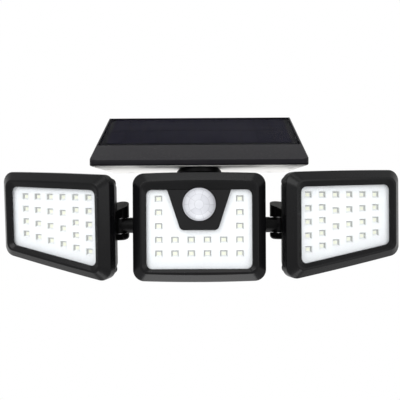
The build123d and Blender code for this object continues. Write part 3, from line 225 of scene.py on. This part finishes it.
# ------------------------------------------------------------------ shader helpers
class Tree:
    """Short way to add and wire the nodes of one material or node group."""

    def __init__(self, tree):
        self.tree = tree
        self.count = 0

    def add(self, kind, **settings):
        node = self.tree.nodes.new(kind)
        node.location = (220 * (self.count % 8), -260 * (self.count // 8))
        self.count += 1
        for name, value in settings.items():
            setattr(node, name, value)
        return node

    def link(self, source, target):
        self.tree.links.new(source, target)

    def math(self, operation, a, b=None, clamp=False):
        node = self.add("ShaderNodeMath", operation=operation, use_clamp=clamp)
        for index, value in enumerate((a, b)):
            if value is None:
                continue
            if isinstance(value, (int, float)):
                node.inputs[index].default_value = value
            else:
                self.link(value, node.inputs[index])
        return node.outputs[0]

    def remap(self, value, low, high, to_low=0.0, to_high=1.0):
        node = self.add("ShaderNodeMapRange")
        node.inputs["From Min"].default_value = low
        node.inputs["From Max"].default_value = high
        node.inputs["To Min"].default_value = to_low
        node.inputs["To Max"].default_value = to_high
        self.link(value, node.inputs["Value"])
        return node.outputs["Result"]

    def noise(self, vector, scale, detail=3.0, roughness=0.5):
        node = self.add("ShaderNodeTexNoise")
        node.inputs["Scale"].default_value = scale
        node.inputs["Detail"].default_value = detail
        node.inputs["Roughness"].default_value = roughness
        self.link(vector, node.inputs["Vector"])
        return node.outputs["Fac"]

    def mix(self, factor, a, b):
        node = self.add("ShaderNodeMix", data_type="RGBA")
        self.link(factor, node.inputs["Factor"])
        for name, value in (("A", a), ("B", b)):
            socket = [s for s in node.inputs if s.name == name and s.type == "RGBA"][0]
            if isinstance(value, tuple):
                socket.default_value = (*value, 1.0)
            else:
                self.link(value, socket)
        return [s for s in node.outputs if s.type == "RGBA"][0]


def new_group(name, inputs, outputs):
    """Empty shader node group with float or colour sockets."""
    group = bpy.data.node_groups.new(name, "ShaderNodeTree")
    for socket, kind, value in inputs:
        item = group.interface.new_socket(name=socket, in_out="INPUT", socket_type=kind)
        item.default_value = value
    for socket, kind in outputs:
        group.interface.new_socket(name=socket, in_out="OUTPUT", socket_type=kind)
    tree = Tree(group)
    source = tree.add("NodeGroupInput")
    target = tree.add("NodeGroupOutput")
    return group, tree, source, target


def make_moulded_group():
    """Fine spark-eroded grain of moulded plastic with a slow change of shade."""
    group, tree, source, target = new_group(
        "moulded_grain",
        [("Grain Size", "NodeSocketFloat", 3000.0), ("Shade Size", "NodeSocketFloat", 25.0)],
        [("Height", "NodeSocketFloat"), ("Shade", "NodeSocketFloat"), ("Gloss", "NodeSocketFloat")])
    coords = tree.add("ShaderNodeTexCoord").outputs["Object"]
    grain = tree.add("ShaderNodeTexNoise")
    grain.inputs["Detail"].default_value = 2.0
    tree.link(coords, grain.inputs["Vector"])
    tree.link(source.outputs["Grain Size"], grain.inputs["Scale"])
    shade = tree.add("ShaderNodeTexNoise")
    shade.inputs["Detail"].default_value = 4.0
    tree.link(coords, shade.inputs["Vector"])
    tree.link(source.outputs["Shade Size"], shade.inputs["Scale"])
    tree.link(grain.outputs["Fac"], target.inputs["Height"])
    tree.link(tree.remap(shade.outputs["Fac"], 0.3, 0.7), target.inputs["Shade"])
    gloss = tree.math("ADD", tree.math("MULTIPLY", shade.outputs["Fac"], 0.6),
                      tree.math("MULTIPLY", grain.outputs["Fac"], 0.4))
    tree.link(gloss, target.inputs["Gloss"])
    return group


def make_wear_and_highlight_group():
    """Mask of edges painted lighter, partly as rubbed wear and partly as a painted edge highlight: where a
    rounded normal leaves the flat one.
    """
    group, tree, source, target = new_group(
        "edge_wear_and_highlight",
        [("Radius", "NodeSocketFloat", 0.0005), ("Amount", "NodeSocketFloat", 1.0)],
        [("Edge", "NodeSocketFloat"), ("Normal", "NodeSocketVector")])
    bevel = tree.add("ShaderNodeBevel", samples=4)
    tree.link(source.outputs["Radius"], bevel.inputs["Radius"])
    flat = tree.add("ShaderNodeNewGeometry").outputs["Normal"]
    dot = tree.add("ShaderNodeVectorMath", operation="DOT_PRODUCT")
    tree.link(bevel.outputs["Normal"], dot.inputs[0])
    tree.link(flat, dot.inputs[1])
    edge = tree.remap(dot.outputs["Value"], 0.995, 0.86)
    coords = tree.add("ShaderNodeTexCoord").outputs["Object"]
    patches = tree.remap(tree.noise(coords, 160.0, 3.0), 0.35, 0.65, 0.25, 1.0)
    worn_and_lit = tree.math("MULTIPLY", tree.math("MULTIPLY", edge, patches), source.outputs["Amount"], True)
    tree.link(worn_and_lit, target.inputs["Edge"])
    tree.link(bevel.outputs["Normal"], target.inputs["Normal"])
    return group


def make_dust_group():
    """Faint dust that settles on faces that look up."""
    group, tree, source, target = new_group(
        "settled_dust",
        [("Amount", "NodeSocketFloat", 0.3)],
        [("Dust", "NodeSocketFloat")])
    normal = tree.add("ShaderNodeNewGeometry").outputs["Normal"]
    split = tree.add("ShaderNodeSeparateXYZ")
    tree.link(normal, split.inputs[0])
    facing = tree.remap(split.outputs["Z"], 0.3, 1.0)
    coords = tree.add("ShaderNodeTexCoord").outputs["Object"]
    specks = tree.remap(tree.noise(coords, 700.0, 5.0, 0.7), 0.52, 0.75)
    clouds = tree.remap(tree.noise(coords, 35.0, 3.0), 0.35, 0.7, 0.2, 1.0)
    dust = tree.math("MULTIPLY", tree.math("MULTIPLY", specks, clouds), facing)
    tree.link(tree.math("MULTIPLY", dust, source.outputs["Amount"], True), target.inputs["Dust"])
    return group


GRAIN = make_moulded_group()
# edge mask for rubbed wear and a painted edge highlight
WEAR_AND_HIGHLIGHT = make_wear_and_highlight_group()
DUST = make_dust_group()


def new_material(name):
    material = bpy.data.materials.new(name)
    material.use_nodes = True
    material.node_tree.nodes.clear()
    tree = Tree(material.node_tree)
    shader = tree.add("ShaderNodeBsdfPrincipled")
    output = tree.add("ShaderNodeOutputMaterial")
    tree.link(shader.outputs["BSDF"], output.inputs["Surface"])
    return material, tree, shader


def place_group(tree, group, **values):
    node = tree.add("ShaderNodeGroup", node_tree=group)
    for name, value in values.items():
        node.inputs[name.replace("_", " ")].default_value = value
    return node


def moulded_plastic(name, dark, light, worn_and_lit, rough, grain=3000.0, bump=0.12, specular=0.25, dust=0.12):
    """Moulded plastic: two close shades, fine grain, edges painted lighter as part wear and part painted
    highlight, and a little dust.
    """
    material, tree, shader = new_material(name)
    grain_node = place_group(tree, GRAIN, Grain_Size=grain, Shade_Size=30.0)
    wear_and_highlight = place_group(tree, WEAR_AND_HIGHLIGHT, Radius=0.0004, Amount=0.8)
    dust_node = place_group(tree, DUST, Amount=dust)
    body = tree.mix(grain_node.outputs["Shade"], dark, light)
    # edges painted lighter: partly rubbed wear, partly a painted highlight
    rubbed_and_lit = tree.mix(wear_and_highlight.outputs["Edge"], body, worn_and_lit)
    dusty = tree.mix(dust_node.outputs["Dust"], rubbed_and_lit, (0.35, 0.34, 0.32))
    tree.link(dusty, shader.inputs["Base Color"])
    tree.link(tree.remap(grain_node.outputs["Gloss"], 0.3, 0.7, rough - 0.05, rough + 0.05),
              shader.inputs["Roughness"])
    shader.inputs["Specular IOR Level"].default_value = specular
    bump_node = tree.add("ShaderNodeBump")
    bump_node.inputs["Strength"].default_value = bump
    bump_node.inputs["Distance"].default_value = 0.0001
    tree.link(grain_node.outputs["Height"], bump_node.inputs["Height"])
    tree.link(wear_and_highlight.outputs["Normal"], bump_node.inputs["Normal"])
    tree.link(bump_node.outputs["Normal"], shader.inputs["Normal"])
    return material


def clear_plastic(name, tint, alpha, rough, specular):
    """Clear window: an even tint with faint scuffs in its gloss."""
    material, tree, shader = new_material(name)
    coords = tree.add("ShaderNodeTexCoord").outputs["Object"]
    scuffs = tree.noise(coords, 240.0, 5.0, 0.65)
    tree.link(tree.remap(scuffs, 0.3, 0.75, rough, rough + 0.08), shader.inputs["Roughness"])
    tree.link(tree.remap(scuffs, 0.3, 0.8, alpha, alpha * 1.25), shader.inputs["Alpha"])
    shader.inputs["Base Color"].default_value = (*tint, 1.0)
    shader.inputs["Specular IOR Level"].default_value = specular
    return material


def metal(name, colour, rough, brushed=900.0):
    """Plated steel with fine turning marks."""
    material, tree, shader = new_material(name)
    coords = tree.add("ShaderNodeTexCoord").outputs["Object"]
    marks = tree.noise(coords, brushed, 4.0, 0.7)
    darker = tuple(channel * 0.7 for channel in colour)
    tree.link(tree.mix(tree.remap(marks, 0.35, 0.65), darker, colour), shader.inputs["Base Color"])
    tree.link(tree.remap(marks, 0.3, 0.7, rough - 0.08, rough + 0.1), shader.inputs["Roughness"])
    shader.inputs["Metallic"].default_value = 1.0
    return material


def solar_cell_material():
    """Dark violet-blue cells with fine fingers up the slope; no two cells quite alike."""
    material, tree, shader = new_material("cell_silicon")
    coords = tree.add("ShaderNodeTexCoord").outputs["Object"]
    split = tree.add("ShaderNodeSeparateXYZ")
    tree.link(coords, split.inputs[0])
    across = tree.math("FRACT", tree.math("DIVIDE", split.outputs["X"], FINGER_PITCH * MM))
    finger = tree.math("LESS_THAN", tree.math("ABSOLUTE", tree.math("SUBTRACT", across, 0.5)), FINGER_HALF)
    cell = tree.math("FLOOR", tree.math("ADD", tree.math("DIVIDE", split.outputs["X"], CELL_PITCH * MM), 0.5))
    shade = tree.add("ShaderNodeTexWhiteNoise", noise_dimensions="1D")
    row = tree.math("MULTIPLY", tree.math("GREATER_THAN", split.outputs["Y"], CELL_ROW_Y * MM), 40.0)
    tree.link(tree.math("ADD", cell, row), shade.inputs["W"])
    crystal = tree.remap(tree.noise(coords, 60.0, 2.0), 0.3, 0.7)
    blend = tree.math("ADD", tree.math("MULTIPLY", crystal, 0.4),
                      tree.math("MULTIPLY", shade.outputs["Value"], 0.6))
    silicon = tree.mix(blend, (0.013, 0.0125, 0.022), (0.021, 0.020, 0.031))
    tree.link(tree.mix(tree.math("MULTIPLY", finger, 0.35), silicon, (0.05, 0.05, 0.07)),
              shader.inputs["Base Color"])
    tree.link(tree.remap(crystal, 0.0, 1.0, 0.34, 0.42), shader.inputs["Roughness"])
    shader.inputs["Specular IOR Level"].default_value = 0.0
    return material


def phosphor_material():
    """Pale yellow-green phosphor of a white LED."""
    material, tree, shader = new_material("led_phosphor")
    coords = tree.add("ShaderNodeTexCoord").outputs["Object"]
    grains = tree.noise(coords, 4000.0, 2.0)
    tree.link(tree.mix(tree.remap(grains, 0.3, 0.7), (0.93, 0.95, 0.68), (0.96, 0.97, 0.78)),
              shader.inputs["Base Color"])
    tree.link(tree.remap(grains, 0.3, 0.7, 0.3, 0.45), shader.inputs["Roughness"])
    return material


def dome_material():
    """Milky lens of the sensor: rings of facets, each painted a shade of its own in place of faceted
    geometry, with painted shade in the grooves between them and fine ridges in the bump.
    """
    material, tree, shader = new_material("milky_dome")
    coords = tree.add("ShaderNodeTexCoord").outputs["Object"]
    centred = tree.add("ShaderNodeMapping")
    centred.inputs["Location"].default_value = (0, 0, -(CENTRE_AT[2] + DOME_Z) * MM)
    tree.link(coords, centred.inputs["Vector"])
    split = tree.add("ShaderNodeSeparateXYZ")
    tree.link(centred.outputs["Vector"], split.inputs[0])
    x, z = split.outputs["X"], split.outputs["Z"]
    radius = tree.math("SQRT", tree.math("ADD", tree.math("MULTIPLY", x, x), tree.math("MULTIPLY", z, z)))
    share = tree.math("DIVIDE", radius, DOME_R * MM)
    turn = tree.math("ADD", tree.math("DIVIDE", tree.math("ARCTAN2", z, x), 2 * math.pi), 1.0)
    groove, number = None, None
    for low, high, count in FACET_RINGS:
        inside = tree.math("MULTIPLY", tree.math("GREATER_THAN", share, low),
                           tree.math("LESS_THAN", share, high))
        spoke = tree.math("MULTIPLY", turn, float(count))
        ring_number = tree.math("MULTIPLY", inside, tree.math("ADD", tree.math("FLOOR", spoke), 7.0 * count))
        edge = tree.math("ABSOLUTE", tree.math("SUBTRACT", tree.math("FRACT", spoke), 0.5))
        width = (low + high) / 2 * DOME_R * 2 * math.pi / count
        line = tree.math("GREATER_THAN", edge, 0.5 - FACET_GROOVE / width) if count > 1 else None
        rim = tree.math("LESS_THAN", tree.math("ABSOLUTE", tree.math("SUBTRACT", share, high)),
                        FACET_GROOVE / DOME_R)
        mark = rim if line is None else tree.math("MAXIMUM", rim, tree.math("MULTIPLY", inside, line))
        groove = mark if groove is None else tree.math("MAXIMUM", groove, mark)
        number = ring_number if number is None else tree.math("ADD", number, ring_number)
    # each facet painted a tone of its own: painted shading of facets that the mesh doesn't have
    tone = tree.add("ShaderNodeTexWhiteNoise", noise_dimensions="1D")
    tree.link(number, tone.inputs["W"])
    milk_painted_facets = tree.mix(tone.outputs["Value"], (0.55, 0.56, 0.60), (0.65, 0.66, 0.70))
    # grooves between the facets painted darker: painted shade
    tree.link(tree.mix(tree.math("MULTIPLY", groove, 0.7), milk_painted_facets, (0.42, 0.43, 0.46)),
              shader.inputs["Base Color"])
    ridges = tree.math("SINE", tree.math("MULTIPLY", radius, 2 * math.pi / (FACET_RIDGE * MM)))
    height = tree.math("SUBTRACT", tree.math("MULTIPLY", ridges, 0.25), groove)
    bump = tree.add("ShaderNodeBump")
    bump.inputs["Strength"].default_value = 0.35
    bump.inputs["Distance"].default_value = 0.0002
    tree.link(height, bump.inputs["Height"])
    tree.link(bump.outputs["Normal"], shader.inputs["Normal"])
    tree.link(tree.remap(tone.outputs["Value"], 0.0, 1.0, 0.25, 0.4), shader.inputs["Roughness"])
    return material


def board_material(name, mask, copper):
    """Circuit board with faint tracks under the mask."""
    material, tree, shader = new_material(name)
    coords = tree.add("ShaderNodeTexCoord").outputs["Object"]
    cells = tree.add("ShaderNodeTexVoronoi", feature="DISTANCE_TO_EDGE")
    cells.inputs["Scale"].default_value = 180.0
    tree.link(coords, cells.inputs["Vector"])
    track = tree.remap(cells.outputs["Distance"], 0.04, 0.08, 1.0, 0.0)
    tree.link(tree.mix(track, mask, copper), shader.inputs["Base Color"])
    shader.inputs["Roughness"].default_value = 0.4
    return material


BLACK = moulded_plastic("black_moulded", (0.002, 0.002, 0.0024), (0.0035, 0.0035, 0.004),
                        (0.012, 0.012, 0.013), 0.26, specular=0.15, dust=0.04)
# darker copy of the black plastic: painted shade for the hinge arms, rear shells, neck and other parts that
# sit in shadow
BLACK_PAINTED_SHADE = moulded_plastic("black_moulded_painted_shade", (0.0012, 0.0012, 0.0013), (0.002, 0.002, 0.0022),
                             (0.006, 0.006, 0.006), 0.4, specular=0.08)
HOUSING_BLACK = moulded_plastic("black_housing", (0.0068, 0.0062, 0.0082), (0.0098, 0.0092, 0.0115),
                                (0.02, 0.02, 0.022), 0.4, specular=0.06)
BLACK_SATIN = moulded_plastic("black_satin", (0.004, 0.004, 0.0045), (0.006, 0.006, 0.0065),
                              (0.014, 0.014, 0.014), 0.42, specular=0.16, dust=0.1)
PANEL_BLACK = moulded_plastic("panel_backing_black", (0.003, 0.003, 0.004), (0.005, 0.005, 0.006),
                              (0.01, 0.01, 0.01), 0.45, specular=0.03, dust=0.0)
GREY = moulded_plastic("grey_moulded", (0.79, 0.78, 0.76), (0.84, 0.83, 0.81), (0.88, 0.87, 0.85), 0.5,
                       dust=0.0)
RUBBER = moulded_plastic("black_rubber", (0.015, 0.015, 0.015), (0.022, 0.022, 0.022),
                         (0.04, 0.04, 0.04), 0.7, grain=1800.0, bump=0.2)
WHITE = moulded_plastic("white_reflector", (0.86, 0.88, 0.89), (0.90, 0.92, 0.93), (0.93, 0.94, 0.95), 0.35,
                        bump=0.03, dust=0.0)
DOME = dome_material()
LED_BODY = moulded_plastic("led_white_body", (0.80, 0.81, 0.80), (0.86, 0.86, 0.85), (0.9, 0.9, 0.9), 0.4,
                           dust=0.0)
WRAP = moulded_plastic("battery_sleeve", (0.04, 0.15, 0.36), (0.05, 0.18, 0.42), (0.2, 0.3, 0.5), 0.3)
PHOSPHOR = phosphor_material()
LENS = clear_plastic("clear_lens", (0.93, 0.96, 1.0), 0.12, 0.06, 0.5)
PANEL_GLASS = clear_plastic("panel_glass", (0.004, 0.004, 0.008), 0.16, 0.2, 0.01)
# grey of the pockets' top and side walls: painted shade in the recess
POCKET_PAINTED_SHADE = moulded_plastic("pocket_wall_painted_shade", (0.27, 0.28, 0.25), (0.32, 0.33, 0.29), (0.7, 0.7, 0.68), 0.45,
                         dust=0.0)
CELLS = solar_cell_material()
STEEL = metal("plated_steel", (0.55, 0.55, 0.56), 0.32)
WHITE_BOARD = board_material("white_board", (0.78, 0.79, 0.78), (0.66, 0.68, 0.67))
GREEN_BOARD = board_material("green_board", (0.015, 0.12, 0.04), (0.03, 0.2, 0.07))

NODE_MATERIALS = {
    HOUSING_BLACK: ("panel_housing",),
    BLACK: ("centre_bezel", "left_bezel", "right_bezel"),
    BLACK_PAINTED_SHADE: ("neck_turret", "neck_nut", "battery_holder", "left_arm", "right_arm",
                 "centre_rear_shell", "left_rear_shell", "right_rear_shell"),
    BLACK_SATIN: ("sensor_surround", "mode_switch"),
    PANEL_BLACK: ("panel_backing",),
    GREY: ("housing_base",),
    RUBBER: ("panel_seal", "housing_seal", "neck_seal", "centre_gasket", "left_gasket", "right_gasket",
             "left_arm_seal", "right_arm_seal", "mode_button"),
    WHITE: ("centre_reflector", "left_reflector", "right_reflector"),
    DOME: ("sensor_dome",),
    LED_BODY: ("centre_leds", "left_leds", "right_leds"),
    WRAP: ("battery_cells",),
    LENS: ("centre_lens", "left_lens", "right_lens"),
    PANEL_GLASS: ("panel_glass",),
    CELLS: ("solar_cells",),
    STEEL: ("base_screws", "neck_washer", "tilt_washers", "tilt_bolt", "tilt_nut", "pir_sensor",
            "centre_screws", "left_case_screws", "right_case_screws", "left_hinge_screw",
            "right_hinge_screw", "left_hinge_washers", "right_hinge_washers", "left_arm_clip",
            "right_arm_clip"),
    WHITE_BOARD: ("centre_led_board", "left_led_board", "right_led_board"),
    GREEN_BOARD: ("charge_board", "control_board"),
}


def dress_nodes():
    """Give every CAD node its material."""
    for material, nodes in NODE_MATERIALS.items():
        for node in nodes:
            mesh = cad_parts[node].data
            mesh.materials.clear()
            mesh.materials.append(material)


# ------------------------------------------------------------------ modelled pieces
def model_package():
    """One LED package: bevelled white body with its cup of phosphor."""
    led = start_block("led_package", (-LED_W / 2, 0, -LED_H / 2), (LED_W / 2, LED_BACK, LED_H / 2))
    add_slots(led, WHITE, POCKET_PAINTED_SHADE, LED_BODY, PHOSPHOR)
    begin_edit(led)
    bpy.ops.mesh.select_all(action="SELECT")
    bpy.ops.mesh.bevel(offset=LED_EDGE * MM, segments=2, affect="EDGES")
    paint_faces(led, 2, lambda face: True)
    pick_faces(led, lambda face: face.normal.y < -0.99 and face.calc_area() > LED_W * MM * MM)
    bpy.ops.mesh.inset(thickness=LED_WALL * MM)
    push_faces((0, LED_CUP, 0))
    paint_faces(led, 3, lambda face: face.select)
    end_edit()
    return led


def model_pocket():
    """One tapered pocket of the reflector with a rolled rim; its top and side walls are painted grey as
    shade, its lower wall stays white as lit.
    """
    wide, high = POCKET_MOUTH[0] / 2, POCKET_MOUTH[1] / 2
    cup = start_block("led_pocket", (-wide - POCKET_RIM, POCKET_FRONT, -high - POCKET_RIM),
                      (wide + POCKET_RIM, POCKET_BACK, high + POCKET_RIM))
    add_slots(cup, WHITE, POCKET_PAINTED_SHADE, LED_BODY, PHOSPHOR)
    begin_edit(cup)
    pick_faces(cup, lambda face: face.normal.y < -0.99)
    bpy.ops.mesh.inset(thickness=POCKET_RIM * MM)
    push_faces((0, POCKET_DEPTH, 0))
    bpy.ops.transform.resize(value=(POCKET_FLOOR[0] / POCKET_MOUTH[0], 1, POCKET_FLOOR[1] / POCKET_MOUTH[1]),
                             center_override=(0, 0, 0))
    # top and side walls of the pocket painted grey as shade; the lower wall, facing up, stays white as lit
    paint_faces(cup, 1, lambda face: abs(face.normal.y) < 0.9 and face.normal.z < 0.3
                and abs(face.calc_center_median().x) < wide * MM
                and abs(face.calc_center_median().z) < high * MM)
    bpy.ops.mesh.select_mode(type="EDGE")
    front = POCKET_FRONT * MM
    pick_edges(cup, lambda edge: all(abs(v.co.y - front) < 1e-6 and abs(v.co.x) < wide * MM * 1.001
                                     and abs(v.co.z) < high * MM * 1.001
                                     for v in edge.verts))
    bpy.ops.mesh.bevel(offset=POCKET_LIP * MM, segments=2, affect="EDGES")
    end_edit()
    return cup


def centre_led_places():
    places = []
    for column in range(CENTRE_COLUMNS):
        for row in range(CENTRE_ROWS):
            if column in (0, CENTRE_COLUMNS - 1) or row >= CENTRE_ROWS - CENTRE_LOW_ROWS:
                places.append(((column - (CENTRE_COLUMNS - 1) / 2) * CENTRE_PITCH[0],
                               ((CENTRE_ROWS - 1) / 2 - row) * CENTRE_PITCH[1]))
    return places


def side_led_places(sign):
    places = []
    for column, rows in enumerate(SIDE_ROWS):
        outward = column * SIDE_PITCH
        height = SIDE_COLUMN_H - SIDE_SLANT * outward
        for row in range(rows):
            places.append((sign * (SIDE_FIRST[0] + outward), SIDE_FIRST[1] - height * row / (rows - 1)))
    return places


def build_leds():
    """LED packages in their pockets, one piece for each head."""
    for side in ("centre", "left", "right"):
        places = centre_led_places() if side == "centre" else side_led_places(-1 if side == "left" else 1)
        frame_of_head = head_frame(side)
        spots = [frame_of_head @ Matrix.Translation((x * MM, 0, z * MM)) for x, z in places]
        body = side + "_head"
        leds = repeat_model(model_package(), spots, side + "_led_packages")
        smooth(leds)
        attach(leds, body)
        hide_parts(side + "_leds")
        pockets = repeat_model(model_pocket(), spots, side + "_led_pockets")
        smooth(pockets)
        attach(pockets, body)


def thin_window(node, name, outward, gap, material, body):
    """Clear plate: a copy of the solid with its back moved off what lies under it and soft edges."""
    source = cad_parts[node]
    window = source.copy()
    window.data = source.data.copy()
    window.name = name
    window.data.name = name
    bpy.context.scene.collection.objects.link(window)
    window.data.materials.clear()
    window.data.materials.append(material)
    begin_edit(window)
    bpy.ops.mesh.select_all(action="SELECT")
    bpy.ops.mesh.remove_doubles(threshold=1e-6)
    bpy.ops.mesh.customdata_custom_splitnormals_clear()
    pick_faces(window, lambda face: face.normal.dot(outward) < -0.99)
    bpy.ops.transform.translate(value=outward * gap * MM)
    bpy.ops.mesh.select_all(action="SELECT")
    bpy.ops.mesh.dissolve_limited(angle_limit=math.radians(0.5))
    end_edit()
    softened = window.modifiers.new("softened", "BEVEL")
    softened.width = WINDOW_EDGE * MM
    softened.segments = 2
    softened.limit_method = "ANGLE"
    softened.angle_limit = math.radians(50)
    make_active(window)
    bpy.ops.object.modifier_apply(modifier="softened")
    smooth(window)
    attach(window, body)
    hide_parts(node)


def build_windows():
    for side in ("centre", "left", "right"):
        outward = head_frame(side).to_3x3() @ Vector((0, -1, 0))
        thin_window(side + "_lens", side + "_window", outward, WINDOW_GAP, LENS, side + "_head")
    slope = Vector(PANEL_NORMAL).normalized()
    thin_window("panel_glass", "panel_cover", slope, GLASS_GAP, PANEL_GLASS, "housing")


def build_dome():
    """Sensor dome: the front of a ball on a short collar with a flange behind the surround."""
    ball = (DOME_R ** 2 + DOME_RISE ** 2) / (2 * DOME_RISE)
    middle = Vector((CENTRE_AT[0], CENTRE_AT[1] + DOME_BASE_Y - DOME_RISE + ball, CENTRE_AT[2] + DOME_Z)) * MM
    clear_selection()
    bpy.ops.mesh.primitive_uv_sphere_add(segments=DOME_SIDES, ring_count=DOME_RINGS, radius=ball * MM)
    dome = bpy.context.object
    dome.name = "sensor_lens"
    dome.data.name = "sensor_lens"
    dome.data.transform(Matrix.Rotation(math.radians(90), 4, "X"))
    dome.data.transform(Matrix.Translation(middle))
    add_slots(dome, DOME)
    base = (CENTRE_AT[1] + DOME_BASE_Y) * MM
    begin_edit(dome, "EDGE")
    bpy.ops.mesh.select_all(action="SELECT")
    bpy.ops.mesh.bisect(plane_co=(0, base, 0), plane_no=(0, 1, 0), clear_outer=True)
    pick_edges(dome, lambda edge: edge.is_boundary)
    axis = (CENTRE_AT[0] * MM, base, (CENTRE_AT[2] + DOME_Z) * MM)
    for step, grow in ((DOME_FLANGE_Y - DOME_BASE_Y, 1.0), (0.0, DOME_FLANGE_R / DOME_R),
                       (DOME_BACK_Y - DOME_FLANGE_Y, 1.0), (0.0, DOME_MOUTH)):
        bpy.ops.mesh.extrude_region_move(TRANSFORM_OT_translate={"value": (0, step * MM, 0)})
        bpy.ops.transform.resize(value=(grow, 1, grow), center_override=axis)
    bpy.ops.mesh.edge_face_add()
    bpy.ops.mesh.select_all(action="SELECT")
    bpy.ops.mesh.normals_make_consistent(inside=False)
    end_edit()
    smooth(dome, 30.0)
    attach(dome, "centre_head")
    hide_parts("sensor_dome")


# ------------------------------------------------------------------ stage
def white_backdrop(name, colour, spread):
    """Pale diffuse surface that the camera, gloss and glass see as white."""
    material = bpy.data.materials.new(name)
    material.use_nodes = True
    material.node_tree.nodes.clear()
    tree = Tree(material.node_tree)
    diffuse = tree.add("ShaderNodeBsdfDiffuse")
    coords = tree.add("ShaderNodeTexCoord").outputs["Object"]
    tone = tree.mix(tree.noise(coords, spread), colour, tuple(c * 0.97 for c in colour))
    tree.link(tone, diffuse.inputs["Color"])
    glow = tree.add("ShaderNodeEmission")
    path = tree.add("ShaderNodeLightPath")
    seen = tree.math("MAXIMUM", path.outputs["Is Camera Ray"],
                     tree.math("MAXIMUM", path.outputs["Is Glossy Ray"], path.outputs["Is Transmission Ray"]))
    mixer = tree.add("ShaderNodeMixShader")
    tree.link(seen, mixer.inputs[0])
    tree.link(diffuse.outputs[0], mixer.inputs[1])
    tree.link(glow.outputs[0], mixer.inputs[2])
    output = tree.add("ShaderNodeOutputMaterial")
    tree.link(mixer.outputs[0], output.inputs["Surface"])
    return material


def build_stage():
    clear_selection()
    bpy.ops.mesh.primitive_plane_add(size=FLOOR_SIZE * MM, location=(0, 0, FLOOR_Z * MM))
    floor = bpy.context.object
    floor.name = "floor"
    floor.data.materials.append(white_backdrop("pale_floor", FLOOR_TONE, 3.0))


def build_world():
    """White for the camera, gloss and glass; a softer white for diffuse light."""
    world = bpy.data.worlds.new("studio")
    bpy.context.scene.world = world
    world.use_nodes = True
    world.node_tree.nodes.clear()
    tree = Tree(world.node_tree)
    path = tree.add("ShaderNodeLightPath")
    seen = tree.math("MAXIMUM", path.outputs["Is Camera Ray"],
                     tree.math("MAXIMUM", path.outputs["Is Glossy Ray"], path.outputs["Is Transmission Ray"]))
    bright = tree.add("ShaderNodeBackground")
    bright.inputs["Strength"].default_value = 1.0
    bright.inputs["Color"].default_value = (1, 1, 1, 1)
    soft = tree.add("ShaderNodeBackground")
    soft.inputs["Strength"].default_value = WORLD_LIGHT
    soft.inputs["Color"].default_value = (1, 1, 1, 1)
    mixer = tree.add("ShaderNodeMixShader")
    tree.link(seen, mixer.inputs[0])
    tree.link(soft.outputs[0], mixer.inputs[1])
    tree.link(bright.outputs[0], mixer.inputs[2])
    output = tree.add("ShaderNodeOutputWorld")
    tree.link(mixer.outputs[0], output.inputs["Surface"])


def build_lamps():
    for name, place, aim, size, power in LAMPS:
        data = bpy.data.lights.new(name, "AREA")
        data.size = size * MM
        data.energy = power
        lamp = bpy.data.objects.new(name, data)
        bpy.context.scene.collection.objects.link(lamp)
        start = Vector(place) * MM
        lamp.location = start
        lamp.rotation_euler = (Vector(aim) * MM - start).to_track_quat("-Z", "Y").to_euler()


def build_camera():
    data = bpy.data.cameras.new("photo_camera")
    data.lens = CAMERA_LENS
    data.sensor_width = SENSOR
    data.clip_start = 0.01
    camera = bpy.data.objects.new("photo_camera", data)
    bpy.context.scene.collection.objects.link(camera)
    camera.location = Vector(CAMERA_AT) * MM
    pan = Matrix.Rotation(math.radians(CAMERA_PAN), 4, "Z")
    roll = Matrix.Rotation(math.radians(CAMERA_ROLL), 4, "Z")
    camera.rotation_euler = (pan @ Matrix.Rotation(math.radians(90), 4, "X") @ roll).to_euler()
    bpy.context.scene.camera = camera


build_camera()
build_world()
build_lamps()
build_stage()
dress_nodes()
build_leds()
build_windows()
build_dome()

bpy.context.scene.view_settings.view_transform = "Standard"
